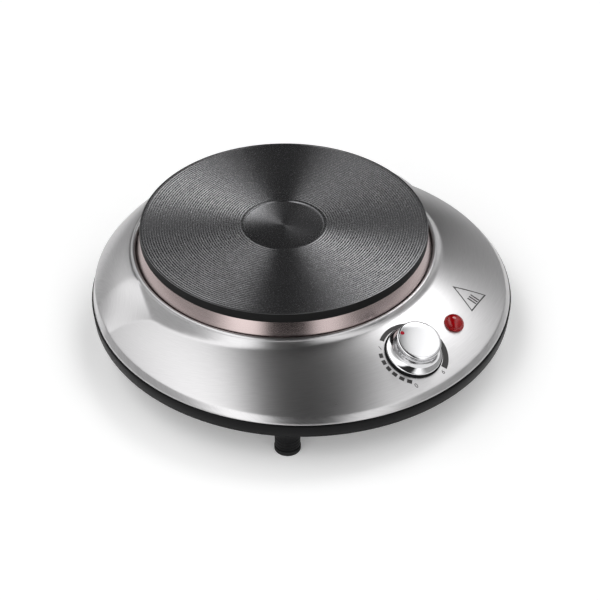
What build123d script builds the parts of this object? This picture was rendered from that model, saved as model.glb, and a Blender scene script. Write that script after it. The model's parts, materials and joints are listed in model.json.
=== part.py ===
from build123d import *
import os
from math import asin, cos, hypot, radians, sin, sqrt, tan

# A single round electric hot plate. Millimetres, +Z up, front (the knob) toward -Y.
# The origin is on the table, on the axis of the round body. The cast plate sits behind that axis.

# ---- Driving dimensions -------------------------------------------------------------------------

SHEET = 1.0                 # steel of the pressed body

# Cast plate, on its own axis
PLATE_R = 92.5
PLATE_Y = 17.8
PLATE_TOP = 66.8
PLATE_RIM = 6.6
HUB_R = 88.5
HUB_BOTTOM = 53.2
CENTRE_R = 25.1
CENTRE_DROP = 0.8
GROOVE_PITCH = 1.65
GROOVE_DEPTH = 0.25
COIL_RADII = (42.0, 58.0, 74.0)
COIL_GROOVE = 9.0
COIL_GROOVE_TOP = 60.0
COIL_WIRE_R = 2.2
COIL_Z = 57.2
COIL_GAP_DEG = 24.0
TERMINAL_R = 1.6

# Trim ring between plate and body
TRIM_TOP_R = 91.0
TRIM_FOOT_R = 95.0
TRIM_FOOT_Z = 51.6
TRIM_SHEET = 0.8

# Body outline, on the body's axis
CREASE_R, CREASE_Z = 131.6, 31.2        # outer edge of the front panel
PANEL_TOP_R, PANEL_TOP_Z = 82.0, 49.0   # inner edge of the front panel
PANEL_CROWN = 1.8                       # how far the panel bulges above a straight cone
SHOULDER_R, SHOULDER_Z = 132.9, 36.0    # outer edge of the raised rear wing
WING_MID_R, WING_MID_Y, WING_MID_Z = 115.8, 8.9, 45.7
LIP_R, LIP_Z = 134.4, 27.1              # lower edge of the steel
RING_R = 135.3                          # widest part of the black ring, just under the steel
BASE_R, BASE_Z = 134.6, 17.8            # lower edge of the black ring

# Raised collar round the plate, on the plate's axis
COLLAR_BORE_R = 95.8
COLLAR_FLANGE_R = 86.5
COLLAR_FLANGE_Z = 46.5
BEAD_R = 97.2
BEAD_TUBE_R = 1.5
POD_TOP_R, POD_TOP_Z = 98.7, 50.7
POD_FOOT_R, POD_FOOT_Z = 105.2, 41.5

# Step between wing and panel, at its middle height
STEP_Z = 42.0
STEP_EDGE_Y = 40.0
STEP_POD_R = 100.0
STEP_BLEND_R = 20.0
STEP_DRAFT = 33.0

# Knob and dial, on the panel
KNOB_Y = -108.0
KNOB_SKIRT_R = 17.6
KNOB_BARREL_R = 12.9
KNOB_TOP_R = 13.9
KNOB_HEIGHT = 14.2
POINTER_R = 1.35
POINTER_PLACE = 11.0
POINTER_ANGLE = 125.7
SHAFT_R = 3.0

# Pilot lamp, on the panel
LAMP_PLACE_R = 109.6
LAMP_ANGLE = 20.4
LENS_R = 6.4
LENS_DOME_R = 7.2
LENS_TOP = 4.9
LENS_STEM_R = 4.3

# Feet
FOOT_CIRCLE_R = 124.0
FOOT_R = 7.8
FOOT_PAD_R = 8.1
FOOT_PAD_H = 3.0

# Base ring and bottom plate
RING_WALL = 3.2
LEDGE_R = 108.0
LEDGE_TOP = 20.5
BOTTOM_R = 117.0
BOTTOM_SHEET = 1.2

# Cord entry, at the back
GLAND_Z = 27.2
GLAND_R = 5.6
GLAND_BORE_R = 3.6
GLAND_COLLAR_R = 6.5
GLAND_FACE_Y = 134.0

# Screws
M3_R = 1.5
M3_HEAD_R = 2.8
M3_HEAD_H = 1.7
STUD_R = 3.0

PLATE_AXIS = Location((0, PLATE_Y, 0))
FAR = 400.0


# ---- Panel surface ------------------------------------------------------------------------------

def panel_arc():
    """Centre and radius of the arc that the front panel's section follows, in the (R, Z) plane."""
    chord_r, chord_z = CREASE_R - PANEL_TOP_R, CREASE_Z - PANEL_TOP_Z
    chord = hypot(chord_r, chord_z)
    radius = chord**2 / (8 * PANEL_CROWN) + PANEL_CROWN / 2
    normal_r, normal_z = -chord_z / chord, chord_r / chord
    reach = radius - PANEL_CROWN
    centre_r = (CREASE_R + PANEL_TOP_R) / 2 - normal_r * reach
    centre_z = (CREASE_Z + PANEL_TOP_Z) / 2 - normal_z * reach
    return centre_r, centre_z, radius


def panel_height(place_r):
    centre_r, centre_z, radius = panel_arc()
    return centre_z + sqrt(radius**2 - (place_r - centre_r)**2)


def panel_tilt(place_r):
    """Slope of the panel, in radians, at a distance from the body's axis."""
    centre_r, _, radius = panel_arc()
    return asin((place_r - centre_r) / radius)


def panel_plane(place_r, angle_deg):
    """Plane on the panel, its Z along the outward normal. The angle goes from the front to +X."""
    turn = radians(angle_deg)
    out_x, out_y = sin(turn), -cos(turn)
    tilt = panel_tilt(place_r)
    origin = (place_r * out_x, place_r * out_y, panel_height(place_r))
    normal = (sin(tilt) * out_x, sin(tilt) * out_y, cos(tilt))
    return Plane(origin=origin, x_dir=(cos(turn), sin(turn), 0), z_dir=normal)


KNOB_PLANE = panel_plane(-KNOB_Y, 0.0)
LAMP_PLANE = panel_plane(LAMP_PLACE_R, LAMP_ANGLE)


# ---- Small helpers ------------------------------------------------------------------------------

def tube(outer_r, inner_r, low, high):
    """Upright ring or, with no inner radius, a disc, on the Z axis."""
    body = Cylinder(outer_r, high - low, align=(Align.CENTER, Align.CENTER, Align.MIN))
    if inner_r > 0:
        body -= Cylinder(inner_r, high - low, align=(Align.CENTER, Align.CENTER, Align.MIN))
    return Pos(0, 0, low) * body


def block(low, high):
    """Box from its lowest corner to its highest corner."""
    size = [b - a for a, b in zip(low, high)]
    middle = [(a + b) / 2 for a, b in zip(low, high)]
    return Pos(*middle) * Box(*size)


def turned(points):
    """Solid of revolution about Z from a closed outline of (R, Z) points."""
    outline = Polyline(*[(r, 0, z) for r, z in points], close=True)
    return revolve(make_face(outline), Axis.Z, 360)


def turned_curve(*edges):
    """Solid of revolution about Z from edges that already lie in the XZ plane."""
    return revolve(make_face(Curve() + list(edges)), Axis.Z, 360)


def around(angles, place_r, piece):
    """Copies of a piece on a circle, one for each angle from +X."""
    return [Rot(0, 0, a) * Pos(place_r, 0, 0) * piece for a in angles]


def slotted_screw(length):
    """Screw that points down from the XY plane, with its slotted head above the plane."""
    head = tube(M3_HEAD_R, 0, 0, M3_HEAD_H)
    head = fillet(head.edges().sort_by(Axis.Z)[-1], 0.5)
    shank = tube(M3_R, 0, -length, 0)
    slot = block((-M3_HEAD_R, -0.4, M3_HEAD_H - 0.7), (M3_HEAD_R, 0.4, M3_HEAD_H))
    return head + shank - slot


def wire_run(points, radii, wire_r):
    """Round wire along straight runs joined by arcs."""
    path = FilletPolyline(*points, radius=radii)
    start = Plane(origin=path @ 0, z_dir=path % 0)
    return sweep(start * Circle(wire_r), path=path)


def write(name, shape):
    solids = shape if isinstance(shape, list) else [shape]
    separate = [s for item in solids for s in item.solids()]
    whole = separate[0] if len(separate) == 1 else Compound(children=separate)
    export_step(whole, os.path.join("parts", name + ".step"))


# ---- Cast plate and its element -----------------------------------------------------------------

def casting_outline():
    """Half section of the casting: stepped hub, overhanging rim and turned grooves on top."""
    land = PLATE_TOP
    points = [(0, HUB_BOTTOM), (HUB_R, HUB_BOTTOM), (HUB_R, land - PLATE_RIM)]
    points += [(PLATE_R, land - PLATE_RIM), (PLATE_R, land - 1.0), (PLATE_R - 1.0, land)]
    groove_count = int((PLATE_R - 3.0 - CENTRE_R - 1.0) / GROOVE_PITCH)
    for index in range(groove_count):
        outer = PLATE_R - 3.0 - index * GROOVE_PITCH
        points += [(outer, land), (outer - 0.35 * GROOVE_PITCH, land - GROOVE_DEPTH)]
        points += [(outer - 0.7 * GROOVE_PITCH, land)]
    points += [(CENTRE_R + 0.5, land), (CENTRE_R, land - CENTRE_DROP), (0, land - CENTRE_DROP)]
    return points


def coil_cavity(ring_r):
    half = COIL_GROOVE / 2
    return tube(ring_r + half, ring_r - half, HUB_BOTTOM, COIL_GROOVE_TOP)


def make_casting():
    body = turned(casting_outline())
    for ring_r in COIL_RADII:
        body -= coil_cavity(ring_r)
    body -= tube(STUD_R, 0, HUB_BOTTOM, HUB_BOTTOM + 5)
    return PLATE_AXIS * body


def coil_arc(ring_r):
    """Open turn of sheathed element, with its gap toward the front."""
    section = Plane.XZ * Pos(ring_r, COIL_Z) * Circle(COIL_WIRE_R)
    turn = revolve(section, Axis.Z, 360 - COIL_GAP_DEG)
    return Rot(0, 0, -90 + COIL_GAP_DEG / 2) * turn


def make_coils():
    return [PLATE_AXIS * coil_arc(ring_r) for ring_r in COIL_RADII]


def make_cement():
    """Fill round each coil. The outer one is bored for the terminal pins."""
    fills = [coil_cavity(ring_r) - coil_arc(ring_r) for ring_r in COIL_RADII]
    for x, y in terminal_places():
        fills[-1] -= Pos(x, y) * tube(TERMINAL_R, 0, HUB_BOTTOM, HUB_BOTTOM + 3)
    return [PLATE_AXIS * fill for fill in fills]


def terminal_places():
    """Where the two terminal pins leave the outer coil, measured from the plate's axis."""
    half_gap = radians(COIL_GAP_DEG / 2 - 4)
    ring_r = COIL_RADII[-1]
    return [(side * ring_r * sin(half_gap), -ring_r * cos(half_gap)) for side in (-1, 1)]


def make_terminals():
    pin = tube(TERMINAL_R, 0, 38.0, HUB_BOTTOM + 3)
    tag = block((-0.4, -3.0, 34.0), (0.4, 3.0, 40.0))
    return [PLATE_AXIS * Pos(x, y) * (pin + tag) for x, y in terminal_places()]


def terminal_ceramic_blank(grow):
    x, y = terminal_places()[1]
    return block((-x - 5 - grow, y - 4.5 - grow, 41.5), (x + 5 + grow, y + 4.5 + grow, HUB_BOTTOM))


def make_terminal_ceramic():
    body = terminal_ceramic_blank(0)
    body = fillet(body.edges().filter_by(Axis.Z), 3.0)
    for x, y in terminal_places():
        body -= Pos(x, y) * tube(TERMINAL_R, 0, 40, HUB_BOTTOM)
    return PLATE_AXIS * body


# ---- What clamps the plate and screens the base -------------------------------------------------

BRIDGE_TOP = COLLAR_FLANGE_Z
BRIDGE_SHEET = 2.5
REFLECTOR_Z = 49.2
REFLECTOR_R = 82.0
PAD_TOP = 53.0


def make_insulation_pad():
    pad = tube(REFLECTOR_R - 1.2, STUD_R + 0.2, REFLECTOR_Z + 0.8, PAD_TOP)
    return PLATE_AXIS * (pad - terminal_ceramic_blank(0.4))


def make_reflector():
    dish = tube(REFLECTOR_R, 0, REFLECTOR_Z, REFLECTOR_Z + 0.8)
    rim = tube(REFLECTOR_R, REFLECTOR_R - 0.8, REFLECTOR_Z, PAD_TOP - 0.4)
    dish = dish + rim - tube(STUD_R + 0.2, 0, REFLECTOR_Z, REFLECTOR_Z + 1)
    return PLATE_AXIS * (dish - terminal_ceramic_blank(0.4))


def make_reflector_spacer():
    return PLATE_AXIS * tube(7, STUD_R + 0.2, BRIDGE_TOP, REFLECTOR_Z)


def make_stud():
    return PLATE_AXIS * chamfer(tube(STUD_R, 0, 34.0, HUB_BOTTOM + 5).edges(), 0.5)


def make_bridge():
    """Bar that spans the opening and pulls up on the collar's flange."""
    half = COLLAR_FLANGE_R + 5.0
    bar = block((-half, -10, BRIDGE_TOP - BRIDGE_SHEET), (half, 10, BRIDGE_TOP))
    bar = fillet(bar.edges().filter_by(Axis.Z), 4.0)
    bar -= tube(STUD_R + 0.2, 0, 40, 50)
    stiffener = block((-50, -10, BRIDGE_TOP - 8), (50, -8, BRIDGE_TOP - BRIDGE_SHEET))
    return PLATE_AXIS * (bar + stiffener + mirror(stiffener, Plane.XZ))


def make_stud_washer():
    bridge_under = BRIDGE_TOP - BRIDGE_SHEET
    return PLATE_AXIS * tube(7.5, STUD_R + 0.2, bridge_under - 1.2, bridge_under)


def make_stud_nut():
    top = BRIDGE_TOP - BRIDGE_SHEET - 1.2
    hexagon = Pos(0, 0, top - 5) * extrude(RegularPolygon(5.8, 6), 5)
    return PLATE_AXIS * (hexagon - tube(STUD_R, 0, top - 6, top + 1))


def make_trim_ring():
    """Flared sheet ring: tucked under the plate's rim, standing on the collar's flange."""
    under_rim = PLATE_TOP - PLATE_RIM
    inner_top = TRIM_TOP_R - TRIM_SHEET
    return PLATE_AXIS * turned([
        (HUB_R + 0.2, under_rim - TRIM_SHEET), (inner_top, under_rim - TRIM_SHEET),
        (TRIM_FOOT_R - TRIM_SHEET, TRIM_FOOT_Z), (TRIM_FOOT_R - TRIM_SHEET, COLLAR_FLANGE_Z + SHEET),
        (TRIM_FOOT_R, COLLAR_FLANGE_Z + SHEET), (TRIM_FOOT_R, TRIM_FOOT_Z),
        (TRIM_TOP_R, under_rim), (HUB_R + 0.2, under_rim)])


# ---- Steel body ---------------------------------------------------------------------------------

def panel_solid(inset):
    """Solid under the front panel: all round, though the wing covers the rear of it."""
    centre_r, centre_z, radius = panel_arc()
    radius -= inset
    crease_r, lip_r = CREASE_R - inset, LIP_R - inset
    crease_z = centre_z + sqrt(radius**2 - (crease_r - centre_r)**2)
    top_z = centre_z + sqrt(radius**2 - (PANEL_TOP_R - centre_r)**2)
    mid_r = (crease_r + PANEL_TOP_R) / 2
    mid_z = centre_z + sqrt(radius**2 - (mid_r - centre_r)**2)
    return turned_curve(
        Line((0, 0, LIP_Z), (lip_r, 0, LIP_Z)),
        Line((lip_r, 0, LIP_Z), (crease_r, 0, crease_z)),
        ThreePointArc((crease_r, 0, crease_z), (mid_r, 0, mid_z), (PANEL_TOP_R, 0, top_z)),
        Line((PANEL_TOP_R, 0, top_z), (0, 0, top_z)),
        Line((0, 0, top_z), (0, 0, LIP_Z)))


def wing_solid(inset):
    """Solid under the raised rear wing, before the step cuts its front away."""
    drop = inset * 0.95
    rings = [
        Pos(0, PLATE_Y, POD_TOP_Z - drop) * Circle(POD_TOP_R - inset),
        Pos(0, WING_MID_Y, WING_MID_Z - drop) * Circle(WING_MID_R - inset),
        Pos(0, 0, SHOULDER_Z - drop) * Circle(SHOULDER_R - inset)]
    skirt = turned([(0, LIP_Z), (LIP_R - inset, LIP_Z), (SHOULDER_R - inset, SHOULDER_Z - drop),
                    (0, SHOULDER_Z - drop)])
    return loft(rings) + skirt


def step_outline(inset, level):
    """Plan of the raised part at one height: round pod in front, blended into the wing's edge."""
    grow = (STEP_Z - level) * tan(radians(STEP_DRAFT)) - inset
    pod_r, edge_y, blend_r = STEP_POD_R + grow, STEP_EDGE_Y - grow, STEP_BLEND_R - grow
    blend_y = STEP_EDGE_Y - STEP_BLEND_R
    blend_x = sqrt((STEP_POD_R + STEP_BLEND_R)**2 - (blend_y - PLATE_Y)**2)
    toward = Vector(-blend_x, PLATE_Y - blend_y).normalized()
    touch = Vector(blend_x, blend_y) + toward * blend_r
    middle = Vector(blend_x, blend_y) + (toward + Vector(0, 1)).normalized() * blend_r
    side, back = 160.0, 160.0
    edges = [ThreePointArc((touch.X, touch.Y), (0, PLATE_Y - pod_r), (-touch.X, touch.Y))]
    for sign in (-1, 1):
        edges.append(ThreePointArc((sign * touch.X, touch.Y), (sign * middle.X, middle.Y),
                                   (sign * blend_x, edge_y)))
        edges.append(Line((sign * blend_x, edge_y), (sign * side, edge_y)))
        edges.append(Line((sign * side, edge_y), (sign * side, back)))
    edges.append(Line((-side, back), (side, back)))
    return Pos(0, 0, level) * make_face(Curve() + edges)


def step_solid(inset):
    return loft([step_outline(inset, LIP_Z - 1), step_outline(inset, POD_TOP_Z + 2)], ruled=True)


def pod_solid(inset):
    return PLATE_AXIS * turned([
        (0, POD_FOOT_Z - 8), (POD_FOOT_R - inset, POD_FOOT_Z - 8), (POD_FOOT_R - inset, POD_FOOT_Z),
        (POD_TOP_R - inset, POD_TOP_Z - inset * 0.8), (0, POD_TOP_Z - inset * 0.8)])


def body_solid(inset):
    raised = wing_solid(inset) & step_solid(inset)
    return panel_solid(inset) + pod_solid(inset) + raised


def collar_ring():
    """Bead, bore and inward flange, all one bent sheet."""
    bead = Plane.XZ * Pos(BEAD_R, POD_TOP_Z) * Circle(BEAD_TUBE_R)
    wall = [(COLLAR_FLANGE_R, COLLAR_FLANGE_Z), (BEAD_R, COLLAR_FLANGE_Z), (BEAD_R, POD_TOP_Z),
            (COLLAR_BORE_R, POD_TOP_Z), (COLLAR_BORE_R, COLLAR_FLANGE_Z + SHEET),
            (COLLAR_FLANGE_R, COLLAR_FLANGE_Z + SHEET)]
    return PLATE_AXIS * (revolve(bead, Axis.Z, 360) + turned(wall))


def gland_cutter(radius):
    along = Plane(origin=(0, GLAND_FACE_Y - 20, GLAND_Z), z_dir=(0, 1, 0))
    return extrude(along * Circle(radius), 40)


def make_top_shell():
    shell = body_solid(0) - body_solid(SHEET)
    shell -= PLATE_AXIS * tube(BEAD_R, 0, POD_FOOT_Z - 10, POD_TOP_Z + 5)
    shell += collar_ring()
    shell -= KNOB_PLANE * tube(5.0, 0, -8, 8)
    shell -= LAMP_PLANE * tube(LENS_STEM_R, 0, -8, 8)
    for offset in THERMOSTAT_SCREW_X:
        shell -= KNOB_PLANE * Pos(offset, 0, 0) * tube(M3_R, 0, -8, 8)
    return shell - gland_cutter(GLAND_R)


# ---- Base ring, bottom plate and feet -----------------------------------------------------------

FOOT_ANGLES = {"foot_front_left": 227, "foot_front_right": 313,
               "foot_rear_right": 47, "foot_rear_left": 133}
BRACKET_ANGLES = (20, 70, 110, 160, 200, 250, 290, 340)
PLATE_SCREW_ANGLES = (0, 60, 120, 180, 240, 300)
BRACKET_R = 126.5
PLATE_SCREW_R = 112.5


def make_base_ring():
    wall_in = LIP_R - RING_WALL
    ring = turned([
        (LEDGE_R, BASE_Z), (BASE_R - 0.8, BASE_Z), (BASE_R, BASE_Z + 0.8), (RING_R, LIP_Z - 1.2),
        (RING_R - 0.2, LIP_Z - 0.5), (LIP_R, LIP_Z), (wall_in, LIP_Z), (wall_in - 0.6, LEDGE_TOP), (LEDGE_R, LEDGE_TOP)])
    for hole in around(FOOT_ANGLES.values(), FOOT_CIRCLE_R, tube(M3_R, 0, 10, 30)):
        ring -= hole
    for hole in around(BRACKET_ANGLES, BRACKET_R, tube(M3_R, 0, 10, 30)):
        ring -= hole
    for hole in around(PLATE_SCREW_ANGLES, PLATE_SCREW_R, tube(M3_R, 0, 10, 30)):
        ring -= hole
    return ring - gland_cutter(GLAND_R)


def vent_slots():
    """Rings of curved cooling slots under the plate's hottest part."""
    slots = []
    for ring_r, count in ((40, 8), (55, 12), (70, 16)):
        span = 360 / count * 0.55
        for index in range(count):
            section = Plane.XZ * Pos(ring_r, LEDGE_TOP) * Rectangle(4, 6)
            slots.append(Rot(0, 0, index * 360 / count) * revolve(section, Axis.Z, span))
    return slots


def make_bottom_plate():
    plate = tube(BOTTOM_R, 0, LEDGE_TOP, LEDGE_TOP + BOTTOM_SHEET)
    for slot in vent_slots():
        plate -= slot
    for hole in around(PLATE_SCREW_ANGLES, PLATE_SCREW_R, tube(M3_R, 0, 10, 30)):
        plate -= hole
    return plate


def make_plate_screws():
    """Screws up through the ledge into the bottom plate's edge."""
    screw = Pos(0, 0, BASE_Z) * Rot(180, 0, 0) * slotted_screw(LEDGE_TOP + BOTTOM_SHEET - BASE_Z)
    return around(PLATE_SCREW_ANGLES, PLATE_SCREW_R, screw)


def bracket():
    """Small angle tab, welded inside the shell's lip and screwed down to the ledge."""
    foot = block((-4.5, -5, LEDGE_TOP), (3.5, 5, LEDGE_TOP + 1.5))
    upright = block((-4.5, -5, LEDGE_TOP), (-3.3, 5, LIP_Z + 2.0))
    reach = block((-4.5, -5, LIP_Z + 0.8), (4.0, 5, LIP_Z + 2.0))
    return foot + upright + reach - tube(M3_R, 0, LEDGE_TOP - 1, LEDGE_TOP + 4)


def make_brackets():
    return around(BRACKET_ANGLES, BRACKET_R, bracket())


def make_bracket_screws():
    screw = Pos(0, 0, BASE_Z) * Rot(180, 0, 0) * slotted_screw(LEDGE_TOP + 1.5 - BASE_Z)
    return around(BRACKET_ANGLES, BRACKET_R, screw)


def make_foot(angle):
    """Round foot, flared where it meets the ring, with a socket for its rubber tip."""
    stem = turned([(0, FOOT_PAD_H), (FOOT_R - 0.4, FOOT_PAD_H), (FOOT_R, FOOT_PAD_H + 1.0),
                   (FOOT_R, BASE_Z - 4.0), (FOOT_R + 2.2, BASE_Z), (0, BASE_Z)])
    stem -= tube(M3_R, 0, FOOT_PAD_H + 3, BASE_Z + 1)
    stem -= tube(3.0, 0, FOOT_PAD_H, FOOT_PAD_H + 2)
    return Rot(0, 0, angle) * Pos(FOOT_CIRCLE_R, 0, 0) * stem


def make_foot_pads():
    tread = tube(FOOT_PAD_R, 0, 0, FOOT_PAD_H)
    tread = fillet(tread.edges().filter_by(GeomType.CIRCLE).sort_by(Axis.Z)[0], 0.8)
    spigot = tube(3.0, 0, FOOT_PAD_H, FOOT_PAD_H + 2)
    return around(FOOT_ANGLES.values(), FOOT_CIRCLE_R, tread + spigot)


def make_foot_screws():
    length = LEDGE_TOP - FOOT_PAD_H - 3
    return around(FOOT_ANGLES.values(), FOOT_CIRCLE_R, Pos(0, 0, LEDGE_TOP) * slotted_screw(length))


# ---- Knob and dial ------------------------------------------------------------------------------

KNOB_FOOT = 1.1             # skirt's lower edge above the panel
BEZEL_R = 18.2
BEZEL_TOP = 0.8
SHAFT_TOP = 10.0
INSERT_R = 5.4


def knob_section():
    """Outer section of the knob: domed top, waisted barrel and flared skirt."""
    top = KNOB_HEIGHT
    skirt_top = KNOB_FOOT + 1.1
    waist_r, waist_z = KNOB_BARREL_R + 1.5, KNOB_FOOT + 2.6
    return turned_curve(
        Line((0, 0, KNOB_FOOT), (KNOB_SKIRT_R - 0.3, 0, KNOB_FOOT)),
        Line((KNOB_SKIRT_R - 0.3, 0, KNOB_FOOT), (KNOB_SKIRT_R, 0, KNOB_FOOT + 0.4)),
        Line((KNOB_SKIRT_R, 0, KNOB_FOOT + 0.4), (KNOB_SKIRT_R - 0.3, 0, skirt_top)),
        Line((KNOB_SKIRT_R - 0.3, 0, skirt_top), (waist_r, 0, waist_z)),
        ThreePointArc((waist_r, 0, waist_z), (KNOB_BARREL_R + 0.1, 0, 6.4),
                      (KNOB_TOP_R, 0, top - 2.2)),
        ThreePointArc((KNOB_TOP_R, 0, top - 2.2), (KNOB_TOP_R - 0.35, 0, top - 1.1),
                      (KNOB_TOP_R - 1.4, 0, top - 0.6)),
        ThreePointArc((KNOB_TOP_R - 1.4, 0, top - 0.6), (KNOB_TOP_R / 2, 0, top - 0.15), (0, 0, top)),
        Line((0, 0, top), (0, 0, KNOB_FOOT)))


def pointer_pin():
    turn = radians(POINTER_ANGLE)
    x, y = POINTER_PLACE * cos(turn), POINTER_PLACE * sin(turn)
    return Pos(x, y) * tube(POINTER_R, 0, KNOB_HEIGHT - 2.2, KNOB_HEIGHT + 1)


def make_knob():
    hollow = turned([(0, KNOB_FOOT - 1), (KNOB_SKIRT_R - 1.9, KNOB_FOOT - 1),
                     (KNOB_SKIRT_R - 1.9, KNOB_FOOT + 0.5), (KNOB_BARREL_R - 1.6, 4.6),
                     (KNOB_BARREL_R - 1.6, KNOB_HEIGHT - 2.6), (0, KNOB_HEIGHT - 2.6)])
    hub = tube(INSERT_R + 1.4, INSERT_R, KNOB_FOOT, KNOB_HEIGHT - 2.5)
    knob = knob_section() - hollow + hub
    return KNOB_PLANE * (knob - pointer_pin())


def make_pointer():
    return KNOB_PLANE * (pointer_pin() & knob_section())


def shaft_profile(grow, low, high):
    """Shaft with its flat on one side."""
    flat = block((-FAR, SHAFT_R - 1.2 + grow, low - 1), (FAR, FAR, high + 1))
    return tube(SHAFT_R + grow, 0, low, high) - flat


def clip_groove():
    return tube(INSERT_R, INSERT_R - 0.8, 5.0, 7.0)


def make_knob_insert():
    insert = tube(INSERT_R, 0, KNOB_FOOT + 0.4, KNOB_HEIGHT - 2.6)
    return KNOB_PLANE * (insert - shaft_profile(0, KNOB_FOOT - 1, SHAFT_TOP) - clip_groove())


def make_knob_clip():
    """Spring ring, split at the side of the flat, that keeps the insert tight on its shaft."""
    gap = block((-0.8, 0, 4), (0.8, INSERT_R + 1, 8))
    return KNOB_PLANE * (clip_groove() - gap)


def make_bezel():
    ring = tube(BEZEL_R, 7.0, -3.0, BEZEL_TOP)
    ring = chamfer(ring.edges().filter_by(GeomType.CIRCLE).group_by(Axis.Z)[-1], 0.25)
    for offset in THERMOSTAT_SCREW_X:
        ring -= Pos(offset, 0, 0) * tube(M3_R, 0, -8, 8)
    return KNOB_PLANE * ring - panel_solid(0)


# ---- Thermostat, hung under the panel behind the knob -------------------------------------------

THERMOSTAT_SCREW_X = (-11.0, 11.0)
FRAME_TOP = -2.4
FRAME_SHEET = 1.0
BUSH_R = 4.6
STACK_Y = 14.5
STACK_R = 4.5
ARM_W = -9.4                # underside of the contact arm
ARM_SHEET = 0.4
FIXED_W = -12.6             # upper face of the fixed blade
BIMETAL_W = -15.2           # upper face of the bimetal blade
CONTACT_Y = -4.5
RIVET_R = 1.4
BLADE_PLAY = 0.1            # room for a bending blade between its insulators


def blade(top, thickness, half_width, front):
    """Spring blade from the stack toward the shaft, with its rivet hole."""
    strip = block((-half_width, front, top - thickness), (half_width, STACK_Y + 4.5, top))
    strip = fillet(strip.edges().filter_by(Axis.Z), 1.2)
    return strip - Pos(0, STACK_Y) * tube(RIVET_R + BLADE_PLAY, 0, top - thickness - 1, top + 1)


def make_thermostat_frame():
    low = FRAME_TOP - FRAME_SHEET
    plate = block((-14, -6.5, low), (14, STACK_Y + 5, FRAME_TOP))
    plate = fillet(plate.edges().filter_by(Axis.Z), 2.0)
    frame = plate + tube(BUSH_R, 0, low - 2.0, -0.5)
    frame -= tube(SHAFT_R + 0.08, 0, low - 3, 2)
    frame -= Pos(0, STACK_Y) * tube(RIVET_R, 0, low - 1, FRAME_TOP + 1)
    for offset in THERMOSTAT_SCREW_X:
        frame -= Pos(offset, 0, 0) * tube(M3_R, 0, low - 1, FRAME_TOP + 1)
    return KNOB_PLANE * frame


def make_thermostat_shaft():
    low = FRAME_TOP - FRAME_SHEET - 3.0
    round_part = tube(SHAFT_R, 0, low, KNOB_FOOT)
    shaft = round_part + shaft_profile(0, KNOB_FOOT - 0.5, SHAFT_TOP)
    return KNOB_PLANE * (shaft - tube(1.2 + 0.2, 0, low, low + 1.6))


def make_plunger():
    """Ceramic pin between the shaft's end and the contact arm."""
    low = FRAME_TOP - FRAME_SHEET - 3.0
    return KNOB_PLANE * tube(1.2, 0, ARM_W + ARM_SHEET + 0.06, low + 1.2)


def make_contact_arm():
    return KNOB_PLANE * blade(ARM_W + ARM_SHEET, ARM_SHEET, 2.6, CONTACT_Y - 2.4)


def make_moving_contact():
    return KNOB_PLANE * Pos(0, CONTACT_Y) * tube(1.6, 0, ARM_W - 1.2, ARM_W)


def make_fixed_blade():
    return KNOB_PLANE * blade(FIXED_W, 0.8, 3.0, CONTACT_Y - 2.6)


def make_fixed_contact():
    return KNOB_PLANE * Pos(0, CONTACT_Y) * tube(1.6, 0, FIXED_W, ARM_W - 1.65)


def make_bimetal():
    return KNOB_PLANE * blade(BIMETAL_W, 0.8, 3.4, -1.0)


def make_stack_insulators():
    """Steatite rings that keep the blades apart on their rivet."""
    frame_low = FRAME_TOP - FRAME_SHEET
    levels = [(ARM_W + ARM_SHEET + BLADE_PLAY, frame_low), (FIXED_W, ARM_W - BLADE_PLAY),
              (BIMETAL_W + BLADE_PLAY, FIXED_W - 0.8)]
    return [KNOB_PLANE * Pos(0, STACK_Y) * tube(STACK_R, RIVET_R, low, high) for low, high in levels]


def make_stack_rivet():
    low = BIMETAL_W - 0.8 - BLADE_PLAY
    shank = tube(RIVET_R, 0, low, FRAME_TOP)
    head = tube(2.6, 0, low - 1.0, low)
    return KNOB_PLANE * Pos(0, STACK_Y) * (shank + head)


def make_thermostat_screws():
    length = BEZEL_TOP - FRAME_TOP + FRAME_SHEET
    screw = Pos(0, 0, BEZEL_TOP) * slotted_screw(length)
    return [KNOB_PLANE * Pos(offset, 0, 0) * screw for offset in THERMOSTAT_SCREW_X]


# ---- Pilot lamp ---------------------------------------------------------------------------------

def make_lamp_lens():
    """Domed red lens with a hollow stem through the panel."""
    dome = Pos(0, 0, LENS_TOP - LENS_DOME_R) * Sphere(LENS_DOME_R) & tube(LENS_R, 0, 0.1, LENS_TOP)
    stem = tube(LENS_STEM_R - 0.1, 0, -7.0, 0.1)
    return LAMP_PLANE * (dome + stem - tube(LENS_STEM_R - 1.1, 0, -7.0, 1.4))


def make_lamp_retainer():
    """Push-on nut under the panel."""
    return LAMP_PLANE * tube(6.5, LENS_STEM_R - 0.1, -2.6, -1.6)


def make_lamp_holder():
    cup = tube(LENS_STEM_R + 1.0, LENS_STEM_R - 0.1, -11.0, -3.2)
    floor = tube(LENS_STEM_R + 1.0, 0, -12.0, -11.0)
    leads = [Pos(x, 0) * tube(0.5, 0, -13, -10) for x in (-1.2, 1.2)]
    return LAMP_PLANE * (cup + floor - leads)


def make_neon_bulb():
    glass = tube(1.8, 0, -9.6, -1.0)
    glass = fillet(glass.edges().filter_by(GeomType.CIRCLE).sort_by(Axis.Z)[-1], 1.4)
    leads = [Pos(x, 0) * tube(0.4, 0, -13.5, -9.4) for x in (-1.2, 1.2)]
    return LAMP_PLANE * (glass + leads)


def make_lamp_resistor():
    body = fillet(tube(1.3, 0, -3.5, 3.5).edges(), 0.4)
    leads = tube(0.35, 0, -6, 6)
    lamp_foot = LAMP_PLANE.from_local_coords((0, 0, -15.5))
    return Pos(lamp_foot.X - 2, lamp_foot.Y + 12, 26.0) * Rot(90, 0, 0) * (body + leads)


# ---- Mains entry, cut-out and wiring ------------------------------------------------------------

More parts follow.
